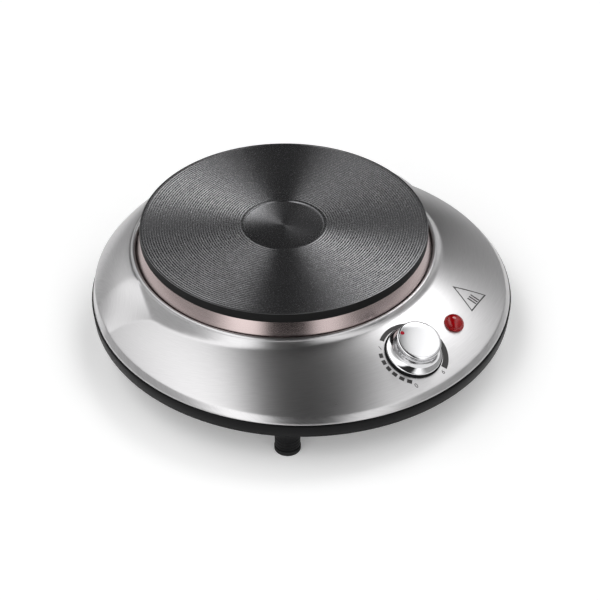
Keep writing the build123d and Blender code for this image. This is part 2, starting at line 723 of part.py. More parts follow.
MAINS_Y = 103.0
MAINS_LOW = LEDGE_TOP + BOTTOM_SHEET
MAINS_POLES = (-8.0, 0.0, 8.0)
WIRE_R = 1.1
LAMP_WIRE_R = 0.7
WIRE_Z = 27.0
FUSE_PLACE = (30.0, -22.0, 36.5)


def make_cord_gland():
    """Rubber bush, flush with the outside, with an inner collar."""
    along = Plane(origin=(0, 121.0, GLAND_Z), z_dir=(0, 1, 0))
    barrel = extrude(along * Circle(GLAND_R), GLAND_FACE_Y - 121.0)
    collar = extrude(along * Circle(GLAND_COLLAR_R), 4.0)
    bore = extrude(along * Circle(GLAND_BORE_R), 20.0)
    return barrel + collar - bore


def make_mains_block():
    body = block((-13, MAINS_Y - 7, MAINS_LOW), (13, MAINS_Y + 7, MAINS_LOW + 9))
    for x in MAINS_POLES:
        along = Plane(origin=(x, MAINS_Y - 8, MAINS_LOW + 4), z_dir=(0, 1, 0))
        body -= extrude(along * Circle(1.8), 16)
        body -= Pos(x, MAINS_Y) * tube(1.6, 0, MAINS_LOW + 4, MAINS_LOW + 10)
    return body


def make_block_screws():
    screw = fillet(tube(1.6, 0, 0, 5.0).edges().sort_by(Axis.Z)[-1], 0.3)
    screw -= block((-2, -0.3, 4.4), (2, 0.3, 6))
    return [Pos(x, MAINS_Y, MAINS_LOW + 4.8 - 0.4) * screw for x in MAINS_POLES]


def make_earth_screw():
    return Pos(30, 92, MAINS_LOW) * (tube(3.4, 0, 0, 1.2) + tube(2.0, 0, 1.2, 3.4))


def make_thermal_fuse():
    x, y, z = FUSE_PLACE
    body = fillet(tube(2.0, 0, -6, 6).edges(), 0.6)
    return Pos(x, y, z) * Rot(0, 90, 0) * (body + tube(0.5, 0, -10, 10))


def make_fuse_clip():
    """Strap that holds the cut-out under the heat reflector."""
    x, y, z = FUSE_PLACE
    wrap = Rot(0, 90, 0) * tube(3.0, 2.0, -2.5, 2.5)
    tab = block((-2.5, 2.5, -0.4), (2.5, 10.0, 0.4))
    hanger = block((-2.5, 9.0, -0.4), (2.5, 10.0, REFLECTOR_Z - z))
    return Pos(x, y, z) * (wrap + tab + hanger)


def make_live_wire():
    """From the block's left pole, round the left side, to the thermostat."""
    return wire_run([(-8, 95, MAINS_LOW + 4), (-8, 84, MAINS_LOW + 4), (-62, 70, WIRE_Z),
                     (-94, 12, WIRE_Z), (-74, -52, WIRE_Z), (-30, -84, WIRE_Z),
                     (-12, -92, WIRE_Z + 1.5)], 8, WIRE_R)


def make_neutral_wire():
    """From the block's middle pole to the right-hand element terminal."""
    return wire_run([(0, 95, MAINS_LOW + 4), (0, 78, MAINS_LOW + 4), (52, 58, WIRE_Z),
                     (66, 0, WIRE_Z + 2), (36, -44, WIRE_Z + 4), (8, -56, 32.0)], 8, WIRE_R)


def make_heater_wires():
    """From the thermostat to the cut-out, and from the cut-out to the left-hand terminal."""
    x, y, z = FUSE_PLACE
    first = wire_run([(6, -92, 28.0), (20, -78, WIRE_Z + 2), (50, -54, 32.0),
                      (60, y, z), (x + 10, y, z)], 5, WIRE_R)
    second = wire_run([(x - 10, y, z), (8, y, z), (-8, -34, 33.0), (-8, -46, 32.0)], 5, WIRE_R)
    return [first, second]


def make_lamp_wires():
    """One lead from the thermostat to the resistor, one from the neutral side to the lamp."""
    lamp_foot = LAMP_PLANE.from_local_coords((0, 0, -15.5))
    resistor_x, resistor_end = lamp_foot.X - 2, lamp_foot.Y + 18
    switched = wire_run([(12, -84, 24.5), (26, -66, 24.5), (resistor_x, -60, 26),
                         (resistor_x, resistor_end, 26)], 3, LAMP_WIRE_R)
    neutral = wire_run([(60, -40, 25), (56, -60, 25), (48, -76, 25),
                        (lamp_foot.X + 3, lamp_foot.Y + 3, 25)], 4, LAMP_WIRE_R)
    return [switched, neutral]


def make_earth_wire():
    return wire_run([(8, 95, MAINS_LOW + 4), (8, 88, MAINS_LOW + 4), (19, 82, MAINS_LOW + 6),
                     (27.5, 88, MAINS_LOW + 2.3)], 4, WIRE_R)


# ---- Write every node ---------------------------------------------------------------------------

def make_all():
    """Every node's name with its shape."""
    nodes = {
        "hotplate_casting": make_casting(),
        "heating_coils": make_coils(),
        "coil_cement": make_cement(),
        "coil_terminals": make_terminals(),
        "terminal_ceramic": make_terminal_ceramic(),
        "trim_ring": make_trim_ring(),
        "insulation_pad": make_insulation_pad(),
        "heat_reflector": make_reflector(),
        "reflector_spacer": make_reflector_spacer(),
        "plate_stud": make_stud(),
        "plate_bridge": make_bridge(),
        "stud_washer": make_stud_washer(),
        "stud_nut": make_stud_nut(),
        "top_shell": make_top_shell(),
        "shell_brackets": make_brackets(),
        "bracket_screws": make_bracket_screws(),
        "base_ring": make_base_ring(),
        "bottom_plate": make_bottom_plate(),
        "plate_screws": make_plate_screws(),
        "foot_pads": make_foot_pads(),
        "foot_screws": make_foot_screws(),
        "knob": make_knob(),
        "knob_pointer": make_pointer(),
        "knob_insert": make_knob_insert(),
        "knob_clip": make_knob_clip(),
        "dial_bezel": make_bezel(),
        "thermostat_frame": make_thermostat_frame(),
        "thermostat_shaft": make_thermostat_shaft(),
        "thermostat_plunger": make_plunger(),
        "contact_arm": make_contact_arm(),
        "moving_contact": make_moving_contact(),
        "fixed_blade": make_fixed_blade(),
        "fixed_contact": make_fixed_contact(),
        "bimetal_blade": make_bimetal(),
        "stack_insulators": make_stack_insulators(),
        "stack_rivet": make_stack_rivet(),
        "thermostat_screws": make_thermostat_screws(),
        "lamp_lens": make_lamp_lens(),
        "lamp_retainer": make_lamp_retainer(),
        "lamp_holder": make_lamp_holder(),
        "neon_bulb": make_neon_bulb(),
        "lamp_resistor": make_lamp_resistor(),
        "cord_gland": make_cord_gland(),
        "mains_block": make_mains_block(),
        "block_screws": make_block_screws(),
        "earth_screw": make_earth_screw(),
        "thermal_fuse": make_thermal_fuse(),
        "fuse_clip": make_fuse_clip(),
        "live_wire": make_live_wire(),
        "neutral_wire": make_neutral_wire(),
        "heater_wires": make_heater_wires(),
        "lamp_wires": make_lamp_wires(),
        "earth_wire": make_earth_wire(),
    }
    for name, angle in FOOT_ANGLES.items():
        nodes[name] = make_foot(angle)
    return nodes


os.makedirs("parts", exist_ok=True)
for node_name, node_shape in make_all().items():
    write(node_name, node_shape)
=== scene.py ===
"""The looks of a round electric hot plate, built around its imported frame.

Lengths are metres in the frame's axes: +Z up, the knob toward -Y, the origin on the table under the
body's axis. Places come from the frame's nodes and joints. Sizes that no node gives are dataclass
fields of the sub-assembly that they belong to.
"""

from __future__ import annotations

import json
import logging
import math
from dataclasses import dataclass, field
from enum import Enum
from typing import Sequence

import bmesh
import bpy
import numpy as np
from mathutils import Matrix, Vector

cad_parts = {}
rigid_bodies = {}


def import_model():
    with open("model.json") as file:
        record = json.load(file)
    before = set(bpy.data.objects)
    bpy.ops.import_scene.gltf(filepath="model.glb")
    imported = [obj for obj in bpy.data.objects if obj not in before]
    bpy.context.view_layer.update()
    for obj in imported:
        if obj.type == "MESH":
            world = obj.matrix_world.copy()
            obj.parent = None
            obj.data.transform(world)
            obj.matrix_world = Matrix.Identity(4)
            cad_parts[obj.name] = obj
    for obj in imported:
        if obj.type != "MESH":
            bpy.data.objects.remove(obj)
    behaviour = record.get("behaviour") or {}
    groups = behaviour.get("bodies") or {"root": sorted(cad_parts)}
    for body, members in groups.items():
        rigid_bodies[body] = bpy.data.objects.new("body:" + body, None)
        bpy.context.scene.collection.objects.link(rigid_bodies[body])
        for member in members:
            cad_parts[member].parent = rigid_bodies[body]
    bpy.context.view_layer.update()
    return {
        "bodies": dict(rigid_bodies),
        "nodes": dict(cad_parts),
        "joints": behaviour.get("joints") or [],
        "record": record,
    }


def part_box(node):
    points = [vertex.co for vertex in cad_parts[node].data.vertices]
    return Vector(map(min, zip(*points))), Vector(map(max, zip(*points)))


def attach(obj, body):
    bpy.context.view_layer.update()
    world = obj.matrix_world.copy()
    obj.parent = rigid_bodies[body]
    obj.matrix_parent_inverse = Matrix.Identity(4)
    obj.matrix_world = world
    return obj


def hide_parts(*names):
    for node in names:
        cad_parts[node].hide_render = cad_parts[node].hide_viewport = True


LOG = logging.getLogger("hot_plate")
MM = 0.001
FULL_TURN = 2.0 * math.pi
POLE = 1e-7
SHARP_ANGLE = math.radians(38.0)
FINE_SEGMENTS = 320
SMALL_SEGMENTS = 96

Point2 = tuple[float, float]
Outline = list[Point2]
Colour = tuple[float, float, float]


class Body(Enum):
    """The rigid bodies of the frame."""

    HOUSING = "housing"
    CONTROL = "control"


# ---- Mesh making --------------------------------------------------------------------------------


def mesh_object(name: str, vertices: Sequence, faces: Sequence, outward: bool = True) -> bpy.types.Object:
    """Make a linked mesh object at the origin.

    Args:
        name: Name of the piece.
        vertices: Points in the frame's axes.
        faces: Vertex numbers of each face.
        outward: Whether to turn every face outwards first.

    Returns:
        The new object, shaded smooth with its sharp edges kept.
    """
    mesh = bpy.data.meshes.new(name)
    mesh.from_pydata([tuple(v) for v in vertices], [], [tuple(f) for f in faces])
    if outward:
        work = bmesh.new()
        work.from_mesh(mesh)
        bmesh.ops.recalc_face_normals(work, faces=work.faces)
        work.to_mesh(mesh)
        work.free()
    shade(mesh)
    piece = bpy.data.objects.new(name, mesh)
    bpy.context.scene.collection.objects.link(piece)
    return piece


def shade(mesh: bpy.types.Mesh, angle: float = SHARP_ANGLE) -> None:
    """Shade a mesh smooth, except over edges sharper than an angle."""
    mesh.polygons.foreach_set("use_smooth", [True] * len(mesh.polygons))
    mesh.set_sharp_from_angle(angle=angle)


def soften(corners: Outline, reach: float, closed: bool = False, steps: int = 4) -> Outline:
    """Round the corners of an outline with short curves.

    Args:
        corners: Corner points as (radius, height).
        reach: How far from a corner its curve starts, at most.
        closed: Whether the last point joins the first.
        steps: Pieces of each curve.

    Returns:
        The rounded outline.
    """
    count = len(corners)
    rounded: Outline = []
    for index, corner in enumerate(corners):
        if not closed and index in (0, count - 1):
            rounded.append(corner)
            continue
        here = Vector(corner)
        before = Vector(corners[index - 1]) - here
        after = Vector(corners[(index + 1) % count]) - here
        cut = min(reach, before.length * 0.45, after.length * 0.45)
        start, end = here + before.normalized() * cut, here + after.normalized() * cut
        for step in range(steps + 1):
            t = step / steps
            point = start * (1 - t) ** 2 + here * 2 * t * (1 - t) + end * t**2
            rounded.append((point.x, point.y))
    return rounded


def lathe(
    name: str,
    outline: Outline,
    place: Matrix | None = None,
    segments: int = FINE_SEGMENTS,
    loop: bool = True,
) -> bpy.types.Object:
    """Turn an outline about +Z into a closed solid of revolution.

    Args:
        name: Name of the piece.
        outline: Points as (radius, height). Points on the axis close to a pole.
        place: Where the turned axis stands in the frame.
        segments: Sides of each ring.
        loop: Whether the last point joins the first.

    Returns:
        The new object, its place in its mesh.
    """
    place = place or Matrix.Identity(4)
    vertices: list[Vector] = []
    rings: list[list[int]] = []
    for radius, height in outline:
        start = len(vertices)
        if radius < POLE:
            vertices.append(Vector((0, 0, height)))
            rings.append([start] * segments)
            continue
        for step in range(segments):
            turn = FULL_TURN * step / segments
            vertices.append(Vector((radius * math.cos(turn), radius * math.sin(turn), height)))
        rings.append(list(range(start, start + segments)))
    pairs = list(zip(rings, rings[1:])) + ([(rings[-1], rings[0])] if loop else [])
    faces = []
    for low, high in pairs:
        for step in range(segments):
            after = (step + 1) % segments
            face = list(dict.fromkeys((low[step], low[after], high[after], high[step])))
            if len(face) > 2:
                faces.append(face)
    return mesh_object(name, [place @ v for v in vertices], faces)


def settle(piece: bpy.types.Object) -> bpy.types.Object:
    """Turn a piece's modifiers into plain mesh.

    Args:
        piece: A piece with live modifiers.

    Returns:
        The same piece, with none.
    """
    graph = bpy.context.evaluated_depsgraph_get()
    mesh = bpy.data.meshes.new_from_object(piece.evaluated_get(graph))
    piece.modifiers.clear()
    piece.data = mesh
    mesh.name = piece.name
    return piece


def merged_copy(node: str, name: str, angle: float = SHARP_ANGLE) -> bpy.types.Object:
    """Copy a frame node with its loose triangles joined, so that its round faces shade smooth.

    Args:
        node: The frame node to copy.
        name: Name of the new piece.
        angle: Edges sharper than this stay sharp.

    Returns:
        The new object.
    """
    source = bpy.data.objects[node]
    work = bmesh.new()
    work.from_mesh(source.data)
    bmesh.ops.remove_doubles(work, verts=work.verts, dist=1e-6)
    mesh = bpy.data.meshes.new(name)
    work.to_mesh(mesh)
    work.free()
    shade(mesh, angle)
    piece = bpy.data.objects.new(name, mesh)
    bpy.context.scene.collection.objects.link(piece)
    return piece


def fit(piece: bpy.types.Object, finish: "Finish", body: Body, slot: str, *nodes: str) -> None:
    """Dress a finished piece and hang it on the frame.

    Args:
        piece: The finished object.
        finish: What it is made of.
        body: The frame body that it rides.
        slot: The record's material slot. Not used.
        nodes: Frame nodes that it stands for, if any.
    """
    piece.data.materials.clear()
    piece.data.materials.append(finish.material())
    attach(piece, body.value)
    if nodes:
        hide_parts(*nodes)
    LOG.info("%s: %d faces, %s", piece.name, len(piece.data.polygons), finish.name)


# ---- Node trees ---------------------------------------------------------------------------------


def wire_node(
    tree: bpy.types.NodeTree, kind: str, inputs: dict | None = None, **settings: object
) -> bpy.types.Node:
    """Add a node to a tree.

    Args:
        tree: The tree that gets the node.
        kind: The node's type.
        inputs: Socket name or number to a value or another node's socket.
        settings: The node's own properties.

    Returns:
        The new node.
    """
    made = tree.nodes.new(kind)
    for key, value in settings.items():
        setattr(made, key, value)
    for key, value in (inputs or {}).items():
        if isinstance(value, bpy.types.NodeSocket):
            tree.links.new(value, made.inputs[key])
        else:
            made.inputs[key].default_value = value
    return made


@dataclass
class Repeater:
    """A Geometry Nodes tree that sets copies of one piece round a circle."""

    name: str
    radius: float
    count: int
    first: float = 0.0
    pitch: float = 0.0

    def tree(self, template: bpy.types.Object, stuff: bpy.types.Material) -> bpy.types.NodeTree:
        """Wire the tree.

        Args:
            template: The piece to repeat. Its own +X points outwards on the circle.
            stuff: The material of every copy.

        Returns:
            The tree, with named inputs for radius, count, first angle and pitch.
        """
        tree = bpy.data.node_groups.new(self.name, "GeometryNodeTree")
        tree.interface.new_socket("Geometry", in_out="OUTPUT", socket_type="NodeSocketGeometry")
        sockets = {"Radius": "Float", "Count": "Int", "First Angle": "Float", "Pitch": "Float"}
        for name, kind in sockets.items():
            tree.interface.new_socket(name, in_out="INPUT", socket_type="NodeSocket" + kind)
        given = wire_node(tree, "NodeGroupInput").outputs
        index = wire_node(tree, "GeometryNodeInputIndex").outputs[0]
        steps = {0: index, 1: given["Pitch"], 2: given["First Angle"]}
        angle = wire_node(tree, "ShaderNodeMath", steps, operation="MULTIPLY_ADD").outputs[0]
        turn = wire_node(tree, "ShaderNodeCombineXYZ", {"Z": angle}).outputs[0]
        out = wire_node(tree, "ShaderNodeCombineXYZ", {"X": given["Radius"]}).outputs[0]
        swung = {"Vector": out, "Angle": angle}
        spot = wire_node(tree, "ShaderNodeVectorRotate", swung, rotation_type="Z_AXIS").outputs[0]
        points = wire_node(tree, "GeometryNodePoints", {"Count": given["Count"], "Position": spot})
        source = wire_node(tree, "GeometryNodeObjectInfo", {"Object": template}).outputs["Geometry"]
        filled = {"Points": points.outputs[0], "Instance": source, "Rotation": turn}
        copies = wire_node(tree, "GeometryNodeInstanceOnPoints", filled)
        real = wire_node(tree, "GeometryNodeRealizeInstances", {0: copies.outputs[0]})
        coat = {"Geometry": real.outputs[0], "Material": stuff}
        dressed = wire_node(tree, "GeometryNodeSetMaterial", coat)
        wire_node(tree, "NodeGroupOutput", {"Geometry": dressed.outputs[0]})
        return tree

    def build(self, template: bpy.types.Object, finish: "Finish", place: Matrix) -> bpy.types.Object:
        """Set the copies and make them one plain mesh.

        Args:
            template: The piece to repeat, removed afterwards.
            finish: What the copies are made of.
            place: Where the circle's axis stands in the frame.

        Returns:
            The finished object.
        """
        holder = bpy.data.objects.new(self.name, bpy.data.meshes.new(self.name))
        bpy.context.scene.collection.objects.link(holder)
        maker = holder.modifiers.new(self.name, "NODES")
        maker.node_group = self.tree(template, finish.material())
        values = {"Radius": self.radius, "Count": self.count}
        values |= {"First Angle": self.first, "Pitch": self.pitch}
        for item in maker.node_group.interface.items_tree:
            if item.in_out == "INPUT" and item.name in values:
                maker[item.identifier] = values[item.name]
        settle(holder)
        holder.data.transform(place)
        bpy.data.objects.remove(template)
        return holder


# ---- Finishes -----------------------------------------------------------------------------------


class Shader:
    """A material's node tree while it is being wired."""

    def __init__(self, name: str) -> None:
        """Start a material with one Principled surface.

        Args:
            name: Name of the material.
        """
        self.stuff = bpy.data.materials.new(name)
        self.stuff.use_nodes = True
        self.tree = self.stuff.node_tree
        self.surface = self.tree.nodes["Principled BSDF"]

    def put(self, **sockets: object) -> None:
        """Set the surface's own sockets, named with underscores for spaces."""
        for key, value in sockets.items():
            self.surface.inputs[key.replace("_", " ")].default_value = value

    def node(self, kind: str, inputs: dict | None = None, **settings: object) -> bpy.types.Node:
        """Add a node.

        Args:
            kind: The node's type after "ShaderNode".
            inputs: Socket name or number to a value or another node's socket.
            settings: The node's own properties.

        Returns:
            The new node.
        """
        return wire_node(self.tree, "ShaderNode" + kind, inputs, **settings)

    def drive(self, socket: str, source: bpy.types.NodeSocket) -> None:
        """Link a node's output to one of the surface's sockets."""
        self.tree.links.new(source, self.surface.inputs[socket])

    def math(self, operation: str, first: object, second: object = 0.0) -> bpy.types.NodeSocket:
        """Add a Math node and return its output."""
        return self.node("Math", {0: first, 1: second}, operation=operation).outputs[0]

    def object_point(self) -> bpy.types.NodeSocket:
        """The surface point in the frame's axes."""
        return self.node("TexCoord").outputs["Object"]

    def noise(self, scale: float, detail: float = 2.0, vector: object = None) -> bpy.types.NodeSocket:
        """Noise from 0 to 1 at a number of features per metre."""
        place = vector or self.object_point()
        return self.node("TexNoise", {"Vector": place, "Scale": scale, "Detail": detail}).outputs[0]

    def ramp(self, factor: object, stops: Sequence[tuple[float, tuple]]) -> bpy.types.NodeSocket:
        """Colour from a factor through a list of (place, colour) stops.

        Args:
            factor: A factor of 0 to 1.
            stops: The places and colours.

        Returns:
            The colour.
        """
        made = self.node("ValToRGB", {"Fac": factor})
        for index, (place, colour) in enumerate(stops):
            stop = made.color_ramp.elements[index] if index < 2 else made.color_ramp.elements.new(place)
            stop.position = place
            stop.color = (*colour, 1.0)
        return made.outputs[0]

    def spread(self, factor: object, low: float, high: float) -> bpy.types.NodeSocket:
        """Map a factor of 0 to 1 onto a range."""
        return self.node("MapRange", {"Value": factor, "To Min": low, "To Max": high}).outputs[0]

    def blend_colour(
        self, share: bpy.types.NodeSocket, first: bpy.types.NodeSocket, second: Colour
    ) -> bpy.types.NodeSocket:
        """Mix one colour into another by a share of 0 to 1."""
        inputs = {0: share, 6: first, 7: (*second, 1.0)}
        return self.node("Mix", inputs, data_type="RGBA").outputs[2]

    def bump(self, height: object, depth: float, strength: float = 1.0) -> None:
        """Shade the surface with a height pattern of a real depth in metres."""
        made = self.node("Bump", {"Height": height, "Distance": depth, "Strength": strength})
        self.drive("Normal", made.outputs[0])

    def radius(self, centre_y: float) -> bpy.types.NodeSocket:
        """Distance from an upright axis.

        Args:
            centre_y: The axis's place along Y.

        Returns:
            The distance in metres.
        """
        split = self.node("SeparateXYZ", {0: self.object_point()})
        y = self.math("SUBTRACT", split.outputs[1], centre_y)
        x_square = self.math("MULTIPLY", split.outputs[0], split.outputs[0])
        return self.math("SQRT", self.math("ADD", x_square, self.math("MULTIPLY", y, y)))

    def turned_point(self, centre_y: float, across: float, along: float) -> bpy.types.NodeSocket:
        """Coordinates that follow circles round an upright axis.

        Args:
            centre_y: The axis's place along Y.
            across: Features per metre from one circle to the next.
            along: Features round a circle.

        Returns:
            A vector with no seam.
        """
        split = self.node("SeparateXYZ", {0: self.object_point()})
        x, height = split.outputs[0], split.outputs[2]
        y = self.math("SUBTRACT", split.outputs[1], centre_y)
        radius = self.radius(centre_y)
        cosine = self.math("MULTIPLY", self.math("DIVIDE", x, radius), along)
        sine = self.math("MULTIPLY", self.math("DIVIDE", y, radius), along)
        slope = self.math("MULTIPLY", self.math("ADD", radius, height), across)
        return self.node("CombineXYZ", {0: cosine, 1: sine, 2: slope}).outputs[0]

    def radial_tangent(self, centre_y: float) -> bpy.types.NodeSocket:
        """Direction straight out from an upright axis, across circular brushing.

        Args:
            centre_y: The axis's place along Y.

        Returns:
            A level unit vector.
        """
        split = self.node("SeparateXYZ", {0: self.object_point()})
        y = self.math("SUBTRACT", split.outputs[1], centre_y)
        flat = self.node("CombineXYZ", {0: split.outputs[0], 1: y, 2: 0.0}).outputs[0]
        return self.node("VectorMath", {0: flat}, operation="NORMALIZE").outputs[0]


_MADE: dict[str, bpy.types.Material] = {}


@dataclass(frozen=True)
class Finish:
    """What a piece is made of, as one material made on first use."""

    name: str
    colour: Colour
    roughness: float = 0.5

    def material(self) -> bpy.types.Material:
        """The finish's material.

        Returns:
            The material, the same one at each call.
        """
        if self.name not in _MADE:
            shader = Shader(self.name)
            shader.put(Base_Color=(*self.colour, 1.0), Roughness=self.roughness)
            self.wire(shader)
            _MADE[self.name] = shader.stuff
        return _MADE[self.name]

    def wire(self, shader: Shader) -> None:
        """Add the finish's own pattern."""
        raise NotImplementedError

    def mottle(self, shader: Shader, scale: float, amount: float) -> None:
        """Vary the colour softly about its mean.

        Args:
            shader: The material being wired.
            scale: Features per metre.
            amount: Share by which the colour varies each way.
        """
        dark = tuple(c * (1.0 - amount) for c in self.colour)
        light = tuple(min(1.0, c * (1.0 + amount)) for c in self.colour)
        shader.drive("Base Color", shader.ramp(shader.noise(scale, 4.0), [(0.3, dark), (0.7, light)]))


@dataclass(frozen=True)
class CircleBrushed(Finish):
    """Stainless sheet, brushed in circles round the cast plate."""

    centre_y: float = 0.0
    anisotropy: float = 0.75
    streaks: float = 8000.0
    tint: Colour | None = None

    def wire(self, shader: Shader) -> None:
        """Fine circular streaks in colour, gloss and height.

        Args:
            shader: The material being wired.
        """
        shader.put(Metallic=1.0, Anisotropic=self.anisotropy)
        shader.drive("Tangent", shader.radial_tangent(self.centre_y))
        fine = shader.noise(1.0, 3.0, shader.turned_point(self.centre_y, self.streaks, 14.0))
        broad = shader.noise(28.0, 2.0)
        dark = tuple(c * 0.94 for c in self.colour)
        light = tuple(min(1.0, c * 1.04) for c in self.colour)
        steel = shader.ramp(fine, [(0.35, dark), (0.65, light)])
        if self.tint:
            steel = shader.blend_colour(shader.spread(broad, 0.0, 1.0), steel, self.tint)
        shader.drive("Base Color", steel)
        shader.drive("Roughness", shader.spread(fine, self.roughness - 0.05, self.roughness + 0.06))
        shader.bump(fine, 0.001 * MM, 0.3)


@dataclass(frozen=True)
class CoatedIron(Finish):
    """Dark heat-proof coating on turned cast iron, matt black on the unturned rim."""

    centre_y: float = 0.0
    rim_r: float = 92.0 * MM
    anisotropy: float = 0.6
    rim_colour: Colour = (0.004, 0.004, 0.0042)
    rim_blend: float = 0.4 * MM
    rim_matt: float = 0.3

    def wire(self, shader: Shader) -> None:
        """Fine grain over turning marks, with a soft change to black at the rim.

        Args:
            shader: The material being wired.
        """
        shader.put(Anisotropic=self.anisotropy, Specular_IOR_Level=0.2)
        shader.drive("Tangent", shader.radial_tangent(self.centre_y))
        marks = shader.noise(1.0, 3.0, shader.turned_point(self.centre_y, 5200.0, 9.0))
        grain = shader.noise(2200.0, 3.0)
        dark = tuple(c * 0.82 for c in self.colour)
        light = tuple(c * 1.18 for c in self.colour)
        turned = shader.ramp(marks, [(0.35, dark), (0.65, light)])
        radius = shader.radius(self.centre_y)
        span = {"Value": radius, "From Min": self.rim_r, "From Max": self.rim_r + self.rim_blend}
        rim = shader.node("MapRange", span).outputs[0]
        shader.drive("Base Color", shader.blend_colour(rim, turned, self.rim_colour))
        shader.drive("Metallic", shader.math("SUBTRACT", 1.0, rim))
        low, high = self.roughness - 0.03, self.roughness + 0.04
        matt = shader.math("MULTIPLY", rim, self.rim_matt)
        shader.drive("Roughness", shader.math("ADD", shader.spread(grain, low, high), matt))
        shader.bump(grain, 0.004 * MM, 0.4)


@dataclass(frozen=True)
class Plating(Finish):
    """Mirror plating with faint orange peel."""

    def wire(self, shader: Shader) -> None:
        """Very slight waviness and wiped-on haze.

        Args:
            shader: The material being wired.
        """
        shader.put(Metallic=1.0)
        wave = shader.noise(260.0, 2.0)
        shader.drive("Roughness", shader.spread(wave, self.roughness, self.roughness + 0.04))
        shader.bump(wave, 0.003 * MM, 0.3)


@dataclass(frozen=True)
class DullMetal(Finish):
    """Plain metal stock: zinc-plated, spring strip, brass or contact silver."""

    grain: float = 900.0

    def wire(self, shader: Shader) -> None:
        """Mottled plating with fine scratches.

        Args:
            shader: The material being wired.
        """
        shader.put(Metallic=1.0)
        self.mottle(shader, self.grain * 0.2, 0.15)
        fine = shader.noise(self.grain * 3.0, 3.0)
        shader.drive("Roughness", shader.spread(fine, self.roughness - 0.08, self.roughness + 0.1))
        shader.bump(fine, 0.006 * MM, 0.4)


@dataclass(frozen=True)
class Moulding(Finish):
    """Moulded plastic or rubber with a fine spark-eroded texture."""

    texture: float = 1800.0
    depth: float = 0.02 * MM
    shine: float = 0.12

    def wire(self, shader: Shader) -> None:
        """Pebbled skin, slightly uneven in gloss.

        Args:
            shader: The material being wired.
        """
        shader.put(Specular_IOR_Level=self.shine)
        pebble = shader.node("TexVoronoi", {"Vector": shader.object_point(), "Scale": self.texture})
        self.mottle(shader, 60.0, 0.12)
        patch = shader.noise(45.0, 2.0)
        shader.drive("Roughness", shader.spread(patch, self.roughness - 0.06, self.roughness + 0.06))
        shader.bump(pebble.outputs["Distance"], self.depth, 0.5)


@dataclass(frozen=True)
class Glassy(Finish):
    """Clear or tinted moulding that light passes through."""

    clearness: float = 0.5
    glow: float = 0.0

    def wire(self, shader: Shader) -> None:
        """Smooth gloss with slight flow marks.

        Args:
            shader: The material being wired.
        """
        shader.put(Transmission_Weight=self.clearness, IOR=1.49)
        shader.put(Emission_Color=(*self.colour, 1.0), Emission_Strength=self.glow)
        flow = shader.noise(180.0, 2.0)
        shader.drive("Roughness", shader.spread(flow, self.roughness, self.roughness + 0.05))
        shader.bump(flow, 0.01 * MM, 0.25)


@dataclass(frozen=True)
class Chalky(Finish):
    """Fired ceramic, cement fill or fibre: matt, with open grain."""

    grain: float = 1200.0
    depth: float = 0.05 * MM

    def wire(self, shader: Shader) -> None:
        """Speckled colour over a grainy surface.

        Args:
            shader: The material being wired.
        """
        self.mottle(shader, self.grain * 0.5, 0.12)
        shader.bump(shader.noise(self.grain, 5.0), self.depth, 0.6)


@dataclass(frozen=True)
class Ink(Finish):
    """Screen-printed ink, slightly thin in places."""

    def wire(self, shader: Shader) -> None:
        """Faint speckle of a printed film.

        Args:
            shader: The material being wired.
        """
        self.mottle(shader, 4000.0, 0.25)
        shader.bump(shader.noise(5000.0, 2.0), 0.003 * MM, 0.3)


# ---- Places taken from the frame ----------------------------------------------------------------


@dataclass
class Places:
    """Places and sizes that the frame's nodes and joints give. The pilot lamp sets its own place."""

    plate_y: float
    plate_r: float
    plate_top: float
    rim_bottom: float
    lip_r: float
    lip_z: float
    knob_place: Matrix
    lens_place: Matrix = field(default_factory=Matrix)

    @staticmethod
    def from_frame(frame: dict) -> "Places":
        """Measure the frame.


        Returns:
            The measured places.
        """
        low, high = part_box("hotplate_casting")
        shell_low, shell_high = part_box("top_shell")
        _, trim_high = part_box("trim_ring")
        turn = next(j for j in frame["joints"] if j["name"] == "knob_turn")
        return Places(
            plate_y=(low.y + high.y) / 2,
            plate_r=(high.x - low.x) / 2,
            plate_top=high.z,
            rim_bottom=trim_high.z,
            lip_r=(shell_high.x - shell_low.x) / 2,
            lip_z=shell_low.z,
            knob_place=axis_matrix(Vector(turn["pos_m"]), Vector(turn["axis"])),
        )

    def plate_axis(self) -> Matrix:
        """The upright axis of the cast plate."""
        return Matrix.Translation((0, self.plate_y, 0))


def axis_matrix(origin: Vector, normal: Vector) -> Matrix:
    """Matrix of a plane on the panel.

    Args:
        origin: The plane's origin.
        normal: Its outward normal, which becomes local Z. Local X stays level.

    Returns:
        The plane's matrix.
    """
    normal = normal.normalized()
    level = Vector((0, 0, 1)).cross(normal).normalized() * -1
    if level.x < 0:
        level = -level
    up_slope = normal.cross(level)
    columns = Matrix((level, up_slope, normal)).transposed()
    return Matrix.Translation(origin) @ columns.to_4x4()


# ---- Steel body ---------------------------------------------------------------------------------


def soft_max(first: np.ndarray, second: np.ndarray, blend: float) -> np.ndarray:
    """The higher of two surfaces, blended where they are within a distance of each other."""
    share = np.clip(0.5 + 0.5 * (first - second) / blend, 0.0, 1.0)
    return second * (1 - share) + first * share + blend * share * (1 - share)


